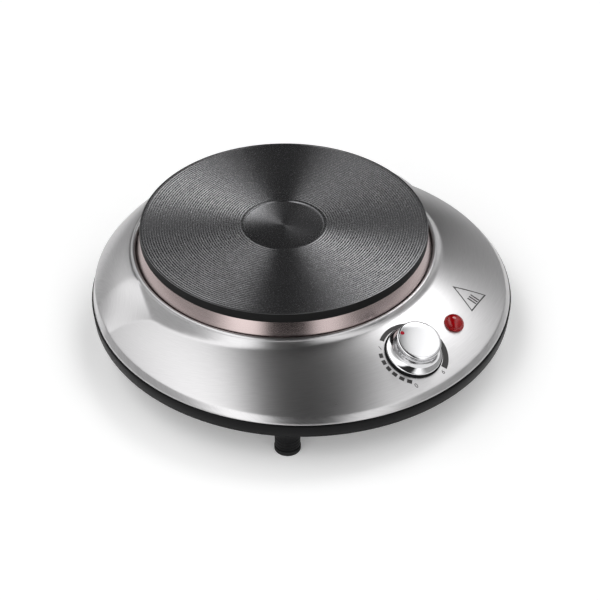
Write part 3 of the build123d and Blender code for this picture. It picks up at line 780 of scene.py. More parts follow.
@dataclass
class TopShell:
    """The pressed steel body: bead, raised rear wing, S-shaped step, front panel and lip."""

    places: Places
    crease: Point2 = (131.6 * MM, 31.2 * MM)
    panel_top: Point2 = (82.0 * MM, 49.0 * MM)
    panel_crown: float = 1.8 * MM
    shoulder: Point2 = (132.9 * MM, 36.0 * MM)
    wing_bulge: float = 2.4 * MM
    pod_top: Point2 = (98.7 * MM, 50.7 * MM)
    pod_foot: Point2 = (105.2 * MM, 41.5 * MM)
    bead_r: float = 97.2 * MM
    bead_tube: float = 1.5 * MM
    bore_r: float = 95.8 * MM
    flange: Point2 = (86.5 * MM, 47.5 * MM)
    step_foot_y: float = 37.0 * MM
    step_foot_r: float = 100.5 * MM
    step_bend: float = 46.0 * MM
    step_reach: float = 21.0 * MM
    edge_blend: float = 1.6 * MM
    sheet: float = 0.9 * MM
    bead_steps: int = 12
    top_rings: int = 44
    crease_round: float = 1.3 * MM
    hem: tuple[Point2, ...] = ((0.05 * MM, 0.2 * MM), (0.25 * MM, 0.05 * MM), (0.6 * MM, 0.0))
    shaft_hole_r: float = 5.0 * MM
    lens_hole_r: float = 4.3 * MM
    gland_hole_r: float = 5.6 * MM
    arc: tuple[float, float, float] = field(init=False)

    def __post_init__(self) -> None:
        """Work out the arc of the front panel's section."""
        chord_r = self.crease[0] - self.panel_top[0]
        chord_z = self.crease[1] - self.panel_top[1]
        chord = math.hypot(chord_r, chord_z)
        radius = chord**2 / (8 * self.panel_crown) + self.panel_crown / 2
        reach = radius - self.panel_crown
        centre_r = (self.crease[0] + self.panel_top[0]) / 2 + chord_z / chord * reach
        centre_z = (self.crease[1] + self.panel_top[1]) / 2 - chord_r / chord * reach
        self.arc = (centre_r, centre_z, radius)

    def panel(self, x: np.ndarray, y: np.ndarray) -> np.ndarray:
        """Height of the front panel."""
        centre_r, centre_z, radius = self.arc
        return centre_z + np.sqrt(radius**2 - (np.hypot(x, y) - centre_r) ** 2)

    def rim_distance(self, x: np.ndarray, y: np.ndarray, rim_r: float) -> np.ndarray:
        """Distance from the plate's axis, through each point, to a circle on the body's axis.

        Args:
            x: Places along X.
            y: Places along Y.
            rim_r: The circle's radius.

        Returns:
            The distances.
        """
        centre = self.places.plate_y
        away = np.hypot(x, y - centre)
        across, along = x / away, (y - centre) / away
        return -centre * along + np.sqrt(rim_r**2 - (centre * across) ** 2)

    def wing(self, x: np.ndarray, y: np.ndarray) -> np.ndarray:
        """Height of the raised rear wing.

        Args:
            x: Places along X.
            y: Places along Y.

        Returns:
            Heights above the table.
        """
        away = np.hypot(x, y - self.places.plate_y)
        reach = self.rim_distance(x, y, self.shoulder[0])
        share = np.clip((away - self.pod_top[0]) / (reach - self.pod_top[0]), 0.0, 1.2)
        fall = (self.shoulder[1] - self.pod_top[1]) * share
        return self.pod_top[1] + fall + 4 * self.wing_bulge * share * (1 - share)

    def wing_share(self, x: np.ndarray, y: np.ndarray) -> np.ndarray:
        """How much of the face is raised: 0 on the front panel, easing to 1 behind the step's foot.

        Args:
            x: Places along X.
            y: Places along Y.

        Returns:
            The shares.
        """
        away = np.hypot(x, y - self.places.plate_y)
        inside = soft_max(y - self.step_foot_y, self.step_foot_r - away, self.step_bend)
        share = np.clip(inside / self.step_reach, 0.0, 1.0)
        return 1.0 - (1.0 - share) ** 2

    def pod(self, x: np.ndarray, y: np.ndarray) -> np.ndarray:
        """Height of the short skirt under the bead.

        Args:
            x: Places along X.
            y: Places along Y.

        Returns:
            Heights above the table.
        """
        (top_r, top_z), (foot_r, foot_z) = self.pod_top, self.pod_foot
        away = np.hypot(x, y - self.places.plate_y)
        return top_z + (away - top_r) * (foot_z - top_z) / (foot_r - top_r)

    def height(self, x: np.ndarray, y: np.ndarray) -> np.ndarray:
        """Height of the finished upper face outside the bead.

        Args:
            x: Places along X.
            y: Places along Y.

        Returns:
            Heights above the table.
        """
        share = self.wing_share(x, y)
        face = self.panel(x, y) * (1 - share) + self.wing(x, y) * share
        face = soft_max(face, self.pod(x, y), self.edge_blend)
        away = np.hypot(x, y - self.places.plate_y) - self.pod_top[0]
        near = np.clip(1.0 - away / (5.0 * MM), 0.0, 1.0) ** 2
        level = self.pod_top[1] - 0.35 * MM
        return face * (1 - near) + np.minimum(face, level) * near

    def on_face(self, x: float, y: float) -> Vector:
        """The point of the upper face above a place."""
        return Vector((x, y, float(self.height(np.array(x), np.array(y)))))

    def turns(self) -> np.ndarray:
        """Angles round the plate's axis, closer together where the step crosses.

        Returns:
            The angles in radians.
        """
        steps = []
        angle = -180.0
        while angle < 180.0 - 1e-6:
            steps.append(angle)
            side = angle if abs(angle) < 90 else math.copysign(180.0, angle) - angle
            angle += 0.4 if -30.0 < side < 20.0 else 1.2
        return np.radians(steps)

    def collar(self) -> Outline:
        """Section of flange, bore and bead, from the flange's inner edge to the bead's foot.

        Returns:
            Points as (radius, height) about the plate's axis.
        """
        bore = [self.flange, (self.bore_r, self.flange[1]), (self.bore_r, self.pod_top[1])]
        section = soften(bore, 0.8 * MM)
        for step in range(self.bead_steps + 1):
            turn = math.pi * (1.0 - step / self.bead_steps)
            radius = self.bead_r + self.bead_tube * math.cos(turn)
            section.append((radius, self.pod_top[1] + self.bead_tube * math.sin(turn)))
        return section

    def ring(self, turns: np.ndarray, radius: np.ndarray, height: np.ndarray) -> np.ndarray:
        """Points round the plate's axis, one for each turn."""
        x, y = radius * np.cos(turns), self.places.plate_y + radius * np.sin(turns)
        return np.stack([x, y, height], axis=1)

    def rings(self) -> list[np.ndarray]:
        """Every ring of points of the sheet's upper side, from the flange to the hem.

        Returns:
            The rings in order, each with one point for every turn.
        """
        turns = self.turns()
        across, along = np.cos(turns), np.sin(turns)
        centre = self.places.plate_y
        made = [self.ring(turns, np.full_like(turns, r), np.full_like(turns, z)) for r, z in self.collar()]
        probe = self.rim_distance(across, along + centre, self.crease[0] + 0.4 * MM)
        rise = self.height(probe * across, centre + probe * along)
        share = np.clip((rise - self.crease[1]) / (self.shoulder[1] - self.crease[1] + 0.3 * MM), 0.0, 1.0)
        rim_r = self.crease[0] + (self.shoulder[0] - self.crease[0]) * share
        reach = -centre * along + np.sqrt(rim_r**2 - (centre * across) ** 2)
        inner = self.pod_top[0] + 0.25 * MM
        for step in range(self.top_rings):
            t = (step / (self.top_rings - 1)) ** 1.15 * 0.988
            radius = inner + (reach - inner) * t
            made.append(self.ring(turns, radius, self.height(radius * across, centre + radius * along)))
        return made + self.lip(made[-1], rim_r)

    def lip(self, edge: np.ndarray, rim_r: np.ndarray) -> list[np.ndarray]:
        """Rings over the outer crease, down the lip and round its hem.

        Args:
            edge: The last ring of the upper face.
            rim_r: Body radius of the crease at each angle.

        Returns:
            The rings, from the crease to the hem's inner edge.
        """
        turn = np.arctan2(edge[:, 1], edge[:, 0])
        out = np.stack([np.cos(turn), np.sin(turn), np.zeros_like(turn)], axis=1)
        crease = out * rim_r[:, None]
        crease[:, 2] = self.height(crease[:, 0], crease[:, 1])
        foot_r, foot_z = self.places.lip_r, self.places.lip_z
        foot = out * foot_r
        foot[:, 2] = foot_z + 0.5 * MM
        down = foot - crease
        start = crease + down / np.linalg.norm(down, axis=1)[:, None] * self.crease_round
        rings = []
        for t in (0.2, 0.4, 0.6, 0.8, 1.0):
            rings.append(edge * (1 - t) ** 2 + crease * 2 * t * (1 - t) + start * t**2)
        rings += [start * (1 - t) + foot * t for t in (0.33, 0.66, 1.0)]
        for inward, height in self.hem:
            turned_in = out * (foot_r - inward)
            turned_in[:, 2] = foot_z + height
            rings.append(turned_in)
        return rings

    def build(self) -> bpy.types.Object:
        """Make the shell as one closed sheet with its holes cut.

        Returns:
            The finished piece.
        """
        rings = self.rings()
        count = len(rings[0])
        faces = []
        for level in range(len(rings) - 1):
            base = level * count
            for step in range(count):
                after = (step + 1) % count
                faces.append((base + step, base + after, base + count + after, base + count + step))
        piece = mesh_object("top_shell_skin", np.concatenate(rings), faces)
        if piece.data.polygons[0].normal.z < 0:
            piece.data.flip_normals()
        wall = piece.modifiers.new("sheet", "SOLIDIFY")
        wall.thickness = self.sheet
        wall.offset = -1.0
        wall.use_even_offset = False
        settle(piece)
        for tool in self.hole_tools():
            cut = piece.modifiers.new("hole", "BOOLEAN")
            cut.operation = "DIFFERENCE"
            cut.solver = "MANIFOLD"
            cut.object = tool
        settle(piece)
        for tool in [o for o in bpy.data.objects if o.name.startswith("hole_tool")]:
            bpy.data.objects.remove(tool)
        shade(piece.data, math.radians(50.0))
        return piece

    def hole_tools(self) -> list[bpy.types.Object]:
        """Plain pins that cut the holes for the shaft, the lamp and the cord bush.

        Returns:
            The pins.
        """
        gland_low, gland_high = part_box("cord_gland")
        gland_z = (gland_low.z + gland_high.z) / 2
        gland = Matrix.Translation((0, gland_high.y, gland_z)) @ Matrix.Rotation(math.pi / 2, 4, "X")
        pins = [
            (self.places.knob_place, self.shaft_hole_r, 8.0 * MM),
            (self.places.lens_place, self.lens_hole_r, 16.0 * MM),
            (gland, self.gland_hole_r, 12.0 * MM),
        ]
        tools = []
        for place, radius, reach in pins:
            pin = [(0.0, -reach), (radius, -reach), (radius, reach), (0.0, reach)]
            tools.append(lathe("hole_tool", pin, place, 64, loop=False))
        return tools


# ---- Cast plate and trim ------------------------------------------------------------------------


@dataclass
class CastPlate:
    """The grooved casting and the heat-tinted ring that it sits in."""

    places: Places
    centre_r: float = 25.1 * MM
    centre_drop: float = 0.8 * MM
    centre_step: tuple[Point2, ...] = (
        (-0.4 * MM, 0.0),
        (0.0, 0.1 * MM),
        (0.45 * MM, 0.72 * MM),
        (0.7 * MM, 0.8 * MM),
    )
    centre_land: float = 1.0 * MM
    edge_land: float = 1.5 * MM
    edge_round: float = 0.9 * MM
    rim: float = 6.6 * MM
    hub_r: float = 88.5 * MM
    hub_bottom: float = 53.2 * MM
    groove_pitch: float = 1.65 * MM
    groove_shape: tuple[Point2, ...] = ((0.0, 0.07 * MM), (0.35, 0.0), (0.7, 0.07 * MM), (0.85, 0.26 * MM))
    trim_top_r: float = 91.0 * MM
    trim_foot: Point2 = (95.0 * MM, 51.6 * MM)
    trim_sheet: float = 0.8 * MM
    trim_gap: float = 0.2 * MM
    flange_z: float = 47.5 * MM

    def top_face(self) -> Outline:
        """Section of the top, from the centre out through every groove.

        Returns:
            Points as (radius, height).
        """
        top = self.places.plate_top
        land = top - self.centre_drop
        section = [(0.0, land)]
        section += [(self.centre_r + out, land + rise) for out, rise in self.centre_step]
        outer = self.places.plate_r - self.edge_land
        count = int((outer - self.centre_r - self.centre_land) / self.groove_pitch)
        start = outer - count * self.groove_pitch
        for index in range(count):
            for share, dip in self.groove_shape:
                section.append((start + (index + share) * self.groove_pitch, top - dip))
        return section + [(outer, top)]

    def build_casting(self) -> bpy.types.Object:
        """Make the casting with every groove in its mesh.

        Returns:
            The finished piece.
        """
        top, radius = self.places.plate_top, self.places.plate_r
        under = top - self.rim
        rim = [(radius, top), (radius, under)]
        rim += [(self.hub_r, under), (self.hub_r, self.hub_bottom), (0.0, self.hub_bottom)]
        edge = soften([self.top_face()[-1]] + rim, self.edge_round)[1:]
        return lathe("cast_plate", self.top_face() + edge, self.places.plate_axis(), 288, loop=False)

    def build_trim(self) -> bpy.types.Object:
        """Make the flared ring of tinted sheet.

        Returns:
            The finished piece.
        """
        under, gauge = self.places.rim_bottom, self.trim_sheet
        foot_r, foot_z = self.trim_foot
        bore_r = self.hub_r + self.trim_gap
        section = [(bore_r, under), (self.trim_top_r, under), (foot_r, foot_z)]
        section += [(foot_r, self.flange_z), (foot_r - gauge, self.flange_z), (foot_r - gauge, foot_z)]
        section += [(self.trim_top_r - gauge, under - gauge), (bore_r, under - gauge)]
        return lathe("trim_ring_skin", soften(section, 0.5 * MM, closed=True), self.places.plate_axis())


# ---- Knob, dial and lamp ------------------------------------------------------------------------


@dataclass
class ControlKnob:
    """The plated knob and its red dot."""

    places: Places
    skirt_r: float = 17.6 * MM
    foot: float = 1.1 * MM
    barrel_r: float = 12.9 * MM
    top_r: float = 13.9 * MM
    height: float = 14.2 * MM
    wall: float = 1.9 * MM
    rim_drop: float = 2.4 * MM
    barrel_bow: float = 0.95 * MM
    barrel_steps: int = 8
    crown: tuple[Point2, ...] = (
        (0.0, 0.0),
        (4.0 * MM, 0.02 * MM),
        (8.0 * MM, 0.1 * MM),
        (11.3 * MM, 0.25 * MM),
        (12.25 * MM, 0.32 * MM),
        (12.35 * MM, 0.5 * MM),
        (12.5 * MM, 0.5 * MM),
        (12.65 * MM, 0.36 * MM),
    )
    dot_r: float = 1.35 * MM
    dot_place: float = 11.0 * MM
    dot_turn: float = math.radians(125.7)

    def outside(self) -> Outline:
        """Section of the knob's outside, from the middle of its top to its foot.

        Returns:
            Points as (radius, height above the panel).
        """
        top, foot = self.height, self.foot
        cap = [(radius, top - drop) for radius, drop in self.crown]
        rim_z = top - self.rim_drop
        edge = [(cap[-1][0] + 0.05 * MM, cap[-1][1]), (self.top_r, top - 0.85 * MM), (self.top_r, rim_z)]
        cap += soften(edge, 0.9 * MM)
        barrel = []
        waist_r, waist_z = self.barrel_r + 1.5 * MM, foot + 2.6 * MM
        for step in range(1, self.barrel_steps + 1):
            share = step / self.barrel_steps
            bow = math.sin(math.pi * share) * self.barrel_bow
            radius = self.top_r + (waist_r - self.top_r) * share**2 - bow
            barrel.append((radius, rim_z + (waist_z - rim_z) * share))
        lip_r = self.skirt_r - 0.3 * MM
        skirt = [barrel[-1], (lip_r, foot + 1.1 * MM), (self.skirt_r, foot + 0.4 * MM), (lip_r, foot)]
        skirt.append((self.skirt_r - self.wall, foot))
        return cap + barrel + soften(skirt, 0.35 * MM)[1:]

    def build_knob(self) -> bpy.types.Object:
        """Make the hollow knob.

        Returns:
            The finished piece.
        """
        bore_r, roof = self.barrel_r - 1.6 * MM, self.height - 2.6 * MM
        hollow = [(self.skirt_r - self.wall, self.foot + 0.5 * MM), (bore_r, 4.6 * MM)]
        hollow += [(bore_r, roof), (0.0, roof)]
        return lathe("control_knob", self.outside() + hollow, self.places.knob_place, 192, loop=False)

    def build_dot(self) -> bpy.types.Object:
        """Make the red dot, a shallow dome let into the knob's top.

        Returns:
            The finished piece.
        """
        across = self.dot_place * math.cos(self.dot_turn)
        along = self.dot_place * math.sin(self.dot_turn)
        place = self.places.knob_place @ Matrix.Translation((across, along, self.height - 0.3 * MM))
        dome = [(0.0, 0.32 * MM), (0.5 * MM, 0.3 * MM), (1.0 * MM, 0.22 * MM), (self.dot_r, 0.05 * MM)]
        dome += [(self.dot_r, -1.0 * MM), (0.0, -1.0 * MM)]
        return lathe("knob_dot", dome, place, 48, loop=False)


@dataclass
class PilotLamp:
    """The red domed lens of the pilot lamp."""

    shell: TopShell
    radius: float = 6.4 * MM
    top: float = 4.9 * MM
    dome_foot: float = 1.0 * MM
    dome_steps: int = 12
    seat: float = 0.05 * MM
    stem_r: float = 4.2 * MM
    stem_wall: float = 1.0 * MM
    stem_deep: float = 7.0 * MM
    away: float = 109.6 * MM
    place: Matrix = field(init=False)

    def __post_init__(self) -> None:
        """Find the lens's place on the panel, above the retainer in the frame."""
        low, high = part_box("lamp_lens")
        out = Vector((low.x + high.x, low.y + high.y, 0)).normalized()
        centre_r, centre_z, radius = self.shell.arc
        tilt = math.asin((self.away - centre_r) / radius)
        origin = out * self.away + Vector((0, 0, centre_z + radius * math.cos(tilt)))
        self.place = axis_matrix(origin, out * math.sin(tilt) + Vector((0, 0, math.cos(tilt))))

    def build(self) -> bpy.types.Object:
        """Make the lens: a smooth dome with a narrow brim, on a hollow stem.

        Returns:
            The finished piece.
        """
        section = [(0.0, self.top)]
        for step in range(1, self.dome_steps):
            turn = math.pi / 2 * step / self.dome_steps
            rise = (self.top - self.dome_foot) * math.cos(turn)
            section.append((self.radius * 0.96 * math.sin(turn), self.dome_foot + rise))
        section += [(self.radius * 0.97, 0.9 * MM), (self.radius, 0.8 * MM), (self.radius, self.seat)]
        bore_r = self.stem_r - self.stem_wall
        section += [(self.stem_r, self.seat), (self.stem_r, -self.stem_deep), (bore_r, -self.stem_deep)]
        section += [(bore_r, 1.2 * MM), (0.0, 1.6 * MM)]
        return lathe("lamp_lens_dome", section, self.place, SMALL_SEGMENTS, loop=False)


@dataclass
class PanelPrint:
    """Everything printed on the front panel, as thin ink laid on the steel."""

    shell: TopShell
    places: Places
    ink: Finish
    film: float = 0.05 * MM
    outer_r: float = 22.2 * MM
    arc_start: float = math.radians(125.0)
    arc_end: float = math.radians(-59.0)
    start_width: float = 2.9 * MM
    end_width: float = 3.7 * MM
    dash_first: float = math.radians(156.0)
    dash_pitch: float = math.radians(13.6)
    dash_size: Point2 = (2.4 * MM, 3.2 * MM)
    dash_count: int = 6
    digit_height: float = 4.0 * MM
    numbers: tuple[tuple[str, float, float], ...] = (
        ("1", 140.6, 20.9 * MM),
        ("6", -67.5, 21.2 * MM),
        ("0", 235.3, 23.0 * MM),
    )
    mark_place: Point2 = (64.4 * MM, -89.6 * MM)
    mark_turn: float = math.radians(112.5)
    mark_r: float = 12.5 * MM
    mark_line: float = 0.8 * MM
    mark_pieces: int = 6
    bar_size: Point2 = (6.0 * MM, 1.2 * MM)
    bar_gap: float = 2.3 * MM
    bar_down: float = 2.2 * MM

    def drape(self, piece: bpy.types.Object, place: Matrix) -> bpy.types.Object:
        """Lay a flat piece on the panel.

        Args:
            piece: A thin piece in a plane's own axes, its film's height along Z.
            place: The plane's matrix.

        Returns:
            The same piece, following the panel.
        """
        for vertex in piece.data.vertices:
            flat = place @ Vector((vertex.co.x, vertex.co.y, 0.0))
            vertex.co = self.shell.on_face(flat.x, flat.y) + Vector((0.0, 0.0, vertex.co.z))
        shade(piece.data)
        return piece

    def film_of(self, name: str, points: Outline, faces: Sequence[Sequence[int]]) -> bpy.types.Object:
        """Make a closed film from flat faces.

        Args:
            name: Name of the piece.
            points: Points in a plane.
            faces: Vertex numbers of each face.

        Returns:
            The film, not yet draped.
        """
        count = len(points)
        vertices = [(x, y, z) for z in (self.film, -self.film) for x, y in points]
        solid = [tuple(f) for f in faces] + [tuple(count + i for i in reversed(f)) for f in faces]
        edges = {pair for face in faces for pair in zip(face, (*face[1:], face[0]))}
        solid += [(b, a, count + a, count + b) for a, b in sorted(edges) if (b, a) not in edges]
        return mesh_object(name, vertices, solid)

    def heat_arc(self, steps: int = 96) -> bpy.types.Object:
        """Make the arc that widens with the heat.

        Args:
            steps: Pieces of the arc.

        Returns:
            The finished piece.
        """
        points: Outline = []
        for step in range(steps + 1):
            share = step / steps
            turn = self.arc_start + (self.arc_end - self.arc_start) * share
            width = self.start_width + (self.end_width - self.start_width) * share
            for radius in (self.outer_r - width, self.outer_r):
                points.append((radius * math.cos(turn), radius * math.sin(turn)))
        faces = [(2 * i, 2 * i + 1, 2 * i + 3, 2 * i + 2) for i in range(steps)]
        return self.drape(self.film_of("heat_arc", points, faces), self.places.knob_place)

    def dashes(self) -> bpy.types.Object:
        """Make the row of dashes between the off mark and the arc.

        Returns:
            The finished piece.
        """
        wide, high = self.dash_size[0] / 2, self.dash_size[1] / 2
        corners = [(-wide, -high), (wide, -high), (wide, 0.0), (wide, high), (-wide, high), (-wide, 0.0)]
        dash = self.film_of("dash", corners, [(0, 1, 2, 5), (5, 2, 3, 4)])
        middle_r = self.outer_r - wide
        row = Repeater("dial_dashes", middle_r, self.dash_count, self.dash_first, self.dash_pitch)
        return self.drape(row.build(dash, self.ink, Matrix.Identity(4)), self.places.knob_place)

    def digit(self, text: str, angle: float, radius: float) -> bpy.types.Object:
        """Make one number of the dial.

        Args:
            text: The number.
            angle: Degrees round the dial from +X.
            radius: Distance from the knob's axis.

        Returns:
            The draped number.
        """
        letter = bpy.data.curves.new("digit_" + text, "FONT")
        letter.body = text
        letter.size = self.digit_height
        letter.extrude = self.film
        letter.align_x, letter.align_y = "CENTER", "CENTER"
        holder = bpy.data.objects.new("digit_" + text, letter)
        bpy.context.scene.collection.objects.link(holder)
        graph = bpy.context.evaluated_depsgraph_get()
        mesh = bpy.data.meshes.new_from_object(holder.evaluated_get(graph))
        bpy.data.objects.remove(holder)
        turn = math.radians(angle)
        mesh.transform(Matrix.Translation((radius * math.cos(turn), radius * math.sin(turn), 0.0)))
        piece = bpy.data.objects.new("digit_" + text, mesh)
        bpy.context.scene.collection.objects.link(piece)
        return self.drape(piece, self.places.knob_place)

    def warm_mark(self) -> bpy.types.Object:
        """Make the outlined triangle with three short bars.

        Returns:
            The finished piece.
        """
        corners = [self.mark_turn + FULL_TURN * i / 3 for i in range(3)]
        points: Outline = []
        faces: list[tuple[int, ...]] = []
        inner = self.mark_r - 2 * self.mark_line
        for ring_r in (inner, self.mark_r):
            for index in range(3):
                start, end = corners[index], corners[(index + 1) % 3]
                for step in range(self.mark_pieces):
                    share = step / self.mark_pieces
                    x = ring_r * (math.cos(start) * (1 - share) + math.cos(end) * share)
                    y = ring_r * (math.sin(start) * (1 - share) + math.sin(end) * share)
                    points.append((x, y))
        around = 3 * self.mark_pieces
        for index in range(around):
            after = (index + 1) % around
            faces.append((index, around + index, around + after, after))
        up = Vector((math.cos(self.mark_turn), math.sin(self.mark_turn)))
        side = Vector((-up.y, up.x))
        for offset in (-1.0, 0.0, 1.0):
            start = len(points)
            middle = side * offset * self.bar_gap - up * self.bar_down
            for along, across in ((-1, -1), (-1, 1), (1, 1), (1, -1)):
                point = middle + up * along * self.bar_size[0] / 2 + side * across * self.bar_size[1] / 2
                points.append((point.x, point.y))
            faces.append((start, start + 1, start + 2, start + 3))
        place = Matrix.Translation((*self.mark_place, 0.0))
        return self.drape(self.film_of("warm_mark", points, faces), place)

    def build(self) -> list[bpy.types.Object]:
        """Make every printed piece.

        Returns:
            The draped pieces.
        """
        numbers = [self.digit(*number) for number in self.numbers]
        return [self.heat_arc(), self.dashes(), self.warm_mark(), *numbers]


# ---- Base, feet and underside -------------------------------------------------------------------


@dataclass(frozen=True)
class Circle:
    """Copies on a circle about the body's axis, with angles in degrees."""

    radius: float
    count: int
    first: float = 0.0
    offsets: tuple[float, ...] = (0.0,)


@dataclass
class Underside:
    """The black ring, bottom plate and feet."""

    places: Places
    foot_nodes: tuple[str, ...] = (
        "foot_front_left",
        "foot_front_right",
        "foot_rear_left",
        "foot_rear_right",
    )
    plate_circle: Circle = Circle(112.5 * MM, 6)
    bracket_circle: Circle = Circle(126.5 * MM, 4, 45.0, (-25.0, 25.0))
    foot_circle: Circle = Circle(124.0 * MM, 2, 90.0, (-43.0, 43.0))
    foot_flare: float = 2.2 * MM
    foot_grooves: int = 3
    groove_first: float = 2.6 * MM
    groove_pitch: float = 2.4 * MM
    groove_deep: float = 0.3 * MM
    groove_half: float = 0.35 * MM
    toe: Point2 = (0.5 * MM, 0.8 * MM)
    flare_start: float = 4.0 * MM
    flare_turn: float = 1.9 * MM
    head_r: float = 2.8 * MM
    head_deep: float = 1.7 * MM
    shank_r: float = 1.45 * MM
    slot_half: Point2 = (0.35 * MM, 0.7 * MM)
    pad_r: float = 8.1 * MM
    pad_deep: float = 3.0 * MM
    spigot_r: float = 3.0 * MM

    def build_ring(self) -> bpy.types.Object:
        """Make the black base ring with its round faces smooth."""
        return merged_copy("base_ring", "base_ring_skin")

    def build_foot(self, node: str) -> bpy.types.Object:
        """Make one foot: a ribbed stem that flares into the ring.

        Args:
            node: The frame node that it stands for.

        Returns:
            The foot.
        """
        low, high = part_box(node)
        middle = (low + high) / 2
        flare = (high.x - low.x) / 2
        stem = flare - self.foot_flare
        section = [(0.0, low.z), (stem - self.toe[0], low.z), (stem, low.z + self.toe[1])]
        for index in range(self.foot_grooves):
            base = low.z + self.groove_first + index * self.groove_pitch
            section.append((stem, base))
            section.append((stem - self.groove_deep, base + self.groove_half))
            section.append((stem, base + 2 * self.groove_half))
        section += [(stem, high.z - self.flare_start), (stem + 0.5 * MM, high.z - self.flare_turn)]
        section += [(flare, high.z), (0.0, high.z)]
        place = Matrix.Translation((middle.x, middle.y, 0))
        return lathe(node + "_skin", soften(section, 0.4 * MM), place, SMALL_SEGMENTS, loop=False)

    def ring_of(
        self, name: str, item: bpy.types.Object, circle: Circle, finish: Finish
    ) -> bpy.types.Object:
        """Set one fastener or pad all round the base.

        Args:
            name: Name of the finished piece.
            item: The piece to repeat, standing on the origin; removed afterwards.
            circle: Where the copies go.
            finish: What they are made of.

        Returns:
            The finished ring of copies.
        """
        points, faces = [], []
        out = Matrix.Translation((circle.radius, 0, 0))
        for offset in circle.offsets:
            turned = Matrix.Rotation(math.radians(offset), 4, "Z") @ out
            first = len(points)
            points += [turned @ vertex.co for vertex in item.data.vertices]
            faces += [[first + number for number in face.vertices] for face in item.data.polygons]
        group = mesh_object(name + "_group", points, faces, outward=False)
        shade(group.data)
        bpy.data.objects.remove(item)
        ring = Repeater(name, 0.0, circle.count, math.radians(circle.first), FULL_TURN / circle.count)
        return ring.build(group, finish, Matrix.Identity(4))

    def build_screws(self, node: str, circle: Circle, finish: Finish) -> bpy.types.Object:
        """Make the slotted pan-head screws of one ring.

        Args:
            node: The frame node that they stand for.
            circle: Where they go.
            finish: What they are made of.

        Returns:
            The ring of screws.
        """
        low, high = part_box(node)
        head = low.z + self.head_deep
        crown = [(0.0, low.z), (1.5 * MM, low.z), (self.head_r - 0.3 * MM, low.z + 0.5 * MM)]
        crown.append((self.head_r, head))
        shank = [(self.shank_r, head), (self.shank_r, high.z), (0.0, high.z)]
        screw = lathe("screw", soften(crown + shank, 0.2 * MM), Matrix.Identity(4), 32, loop=False)
        half = (self.head_r + MM, *self.slot_half)
        signs = [(i, j, k) for i in (-1, 1) for j in (-1, 1) for k in (-1, 1)]
        corners = [(half[0] * i, half[1] * j, low.z + half[2] * k) for i, j, k in signs]
        sides = [(0, 1, 3, 2), (4, 6, 7, 5), (0, 4, 5, 1), (2, 3, 7, 6), (0, 2, 6, 4), (1, 5, 7, 3)]
        blade = mesh_object("slot_blade", corners, sides)
        cut = screw.modifiers.new("slot", "BOOLEAN")
        cut.operation, cut.solver, cut.object = "DIFFERENCE", "MANIFOLD", blade
        settle(screw)
        bpy.data.objects.remove(blade)
        return self.ring_of(node + "_skin", screw, circle, finish)

    def build_pads(self, circle: Circle, finish: Finish) -> bpy.types.Object:
        """Make the rubber treads under the feet, with the spigots that hold them.

        Args:
            circle: Where the feet stand.
            finish: What the pads are made of.

        Returns:
            The ring of pads.
        """
        low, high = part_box("foot_pads")
        tread = low.z + self.pad_deep
        section = [(0.0, low.z), (self.pad_r, low.z), (self.pad_r, tread), (self.spigot_r, tread)]
        section += [(self.spigot_r, high.z), (0.0, high.z)]
        pad = lathe("pad", soften(section, 0.5 * MM), Matrix.Identity(4), SMALL_SEGMENTS, loop=False)
        return self.ring_of("foot_pads_skin", pad, circle, finish)


# ---- Studio -------------------------------------------------------------------------------------


class RoomLight:
    """The room's light, wired from soft-edged patches of sky."""

    def __init__(self) -> None:
        """Start a world whose light depends on direction."""
        self.world = bpy.data.worlds.new("room")
        self.world.use_nodes = True
        self.tree = self.world.node_tree
        self.facing = wire_node(self.tree, "ShaderNodeTexCoord").outputs["Generated"]

    def toward(self, way: Vector, edge: Point2, low: float, high: float) -> bpy.types.NodeSocket:
        """Change softly from one value to another as a direction turns toward a way.

        Args:
            way: The way, as a unit vector.
            edge: Cosines between which the value changes.
            low: Value away from the way.
            high: Value along it.

        Returns:
            The value for each direction.
        """
        pair = {0: self.facing, 1: way}
        dot = wire_node(self.tree, "ShaderNodeVectorMath", pair, operation="DOT_PRODUCT")
        span = {"Value": dot.outputs["Value"], "From Min": edge[0], "From Max": edge[1]}
        span |= {"To Min": low, "To Max": high}
        kind = "ShaderNodeMapRange"
        return wire_node(self.tree, kind, span, interpolation_type="SMOOTHSTEP").outputs["Result"]

    def join(self, operation: str, first: object, second: object) -> bpy.types.NodeSocket:
        """Add a Math node and return its output."""
        pair = {0: first, 1: second}
        return wire_node(self.tree, "ShaderNodeMath", pair, operation=operation).outputs[0]

    def finish(self, strength: bpy.types.NodeSocket) -> None:
        """Light the scene with the wired strength.

        Args:
            strength: The light's strength for each direction.
        """
        glow = self.tree.nodes["Background"]
        self.tree.links.new(strength, glow.inputs["Strength"])
        glow.inputs["Color"].default_value = (1.0, 1.0, 1.0, 1.0)
        bpy.context.scene.world = self.world
        bpy.context.scene.view_settings.view_transform = "Standard"


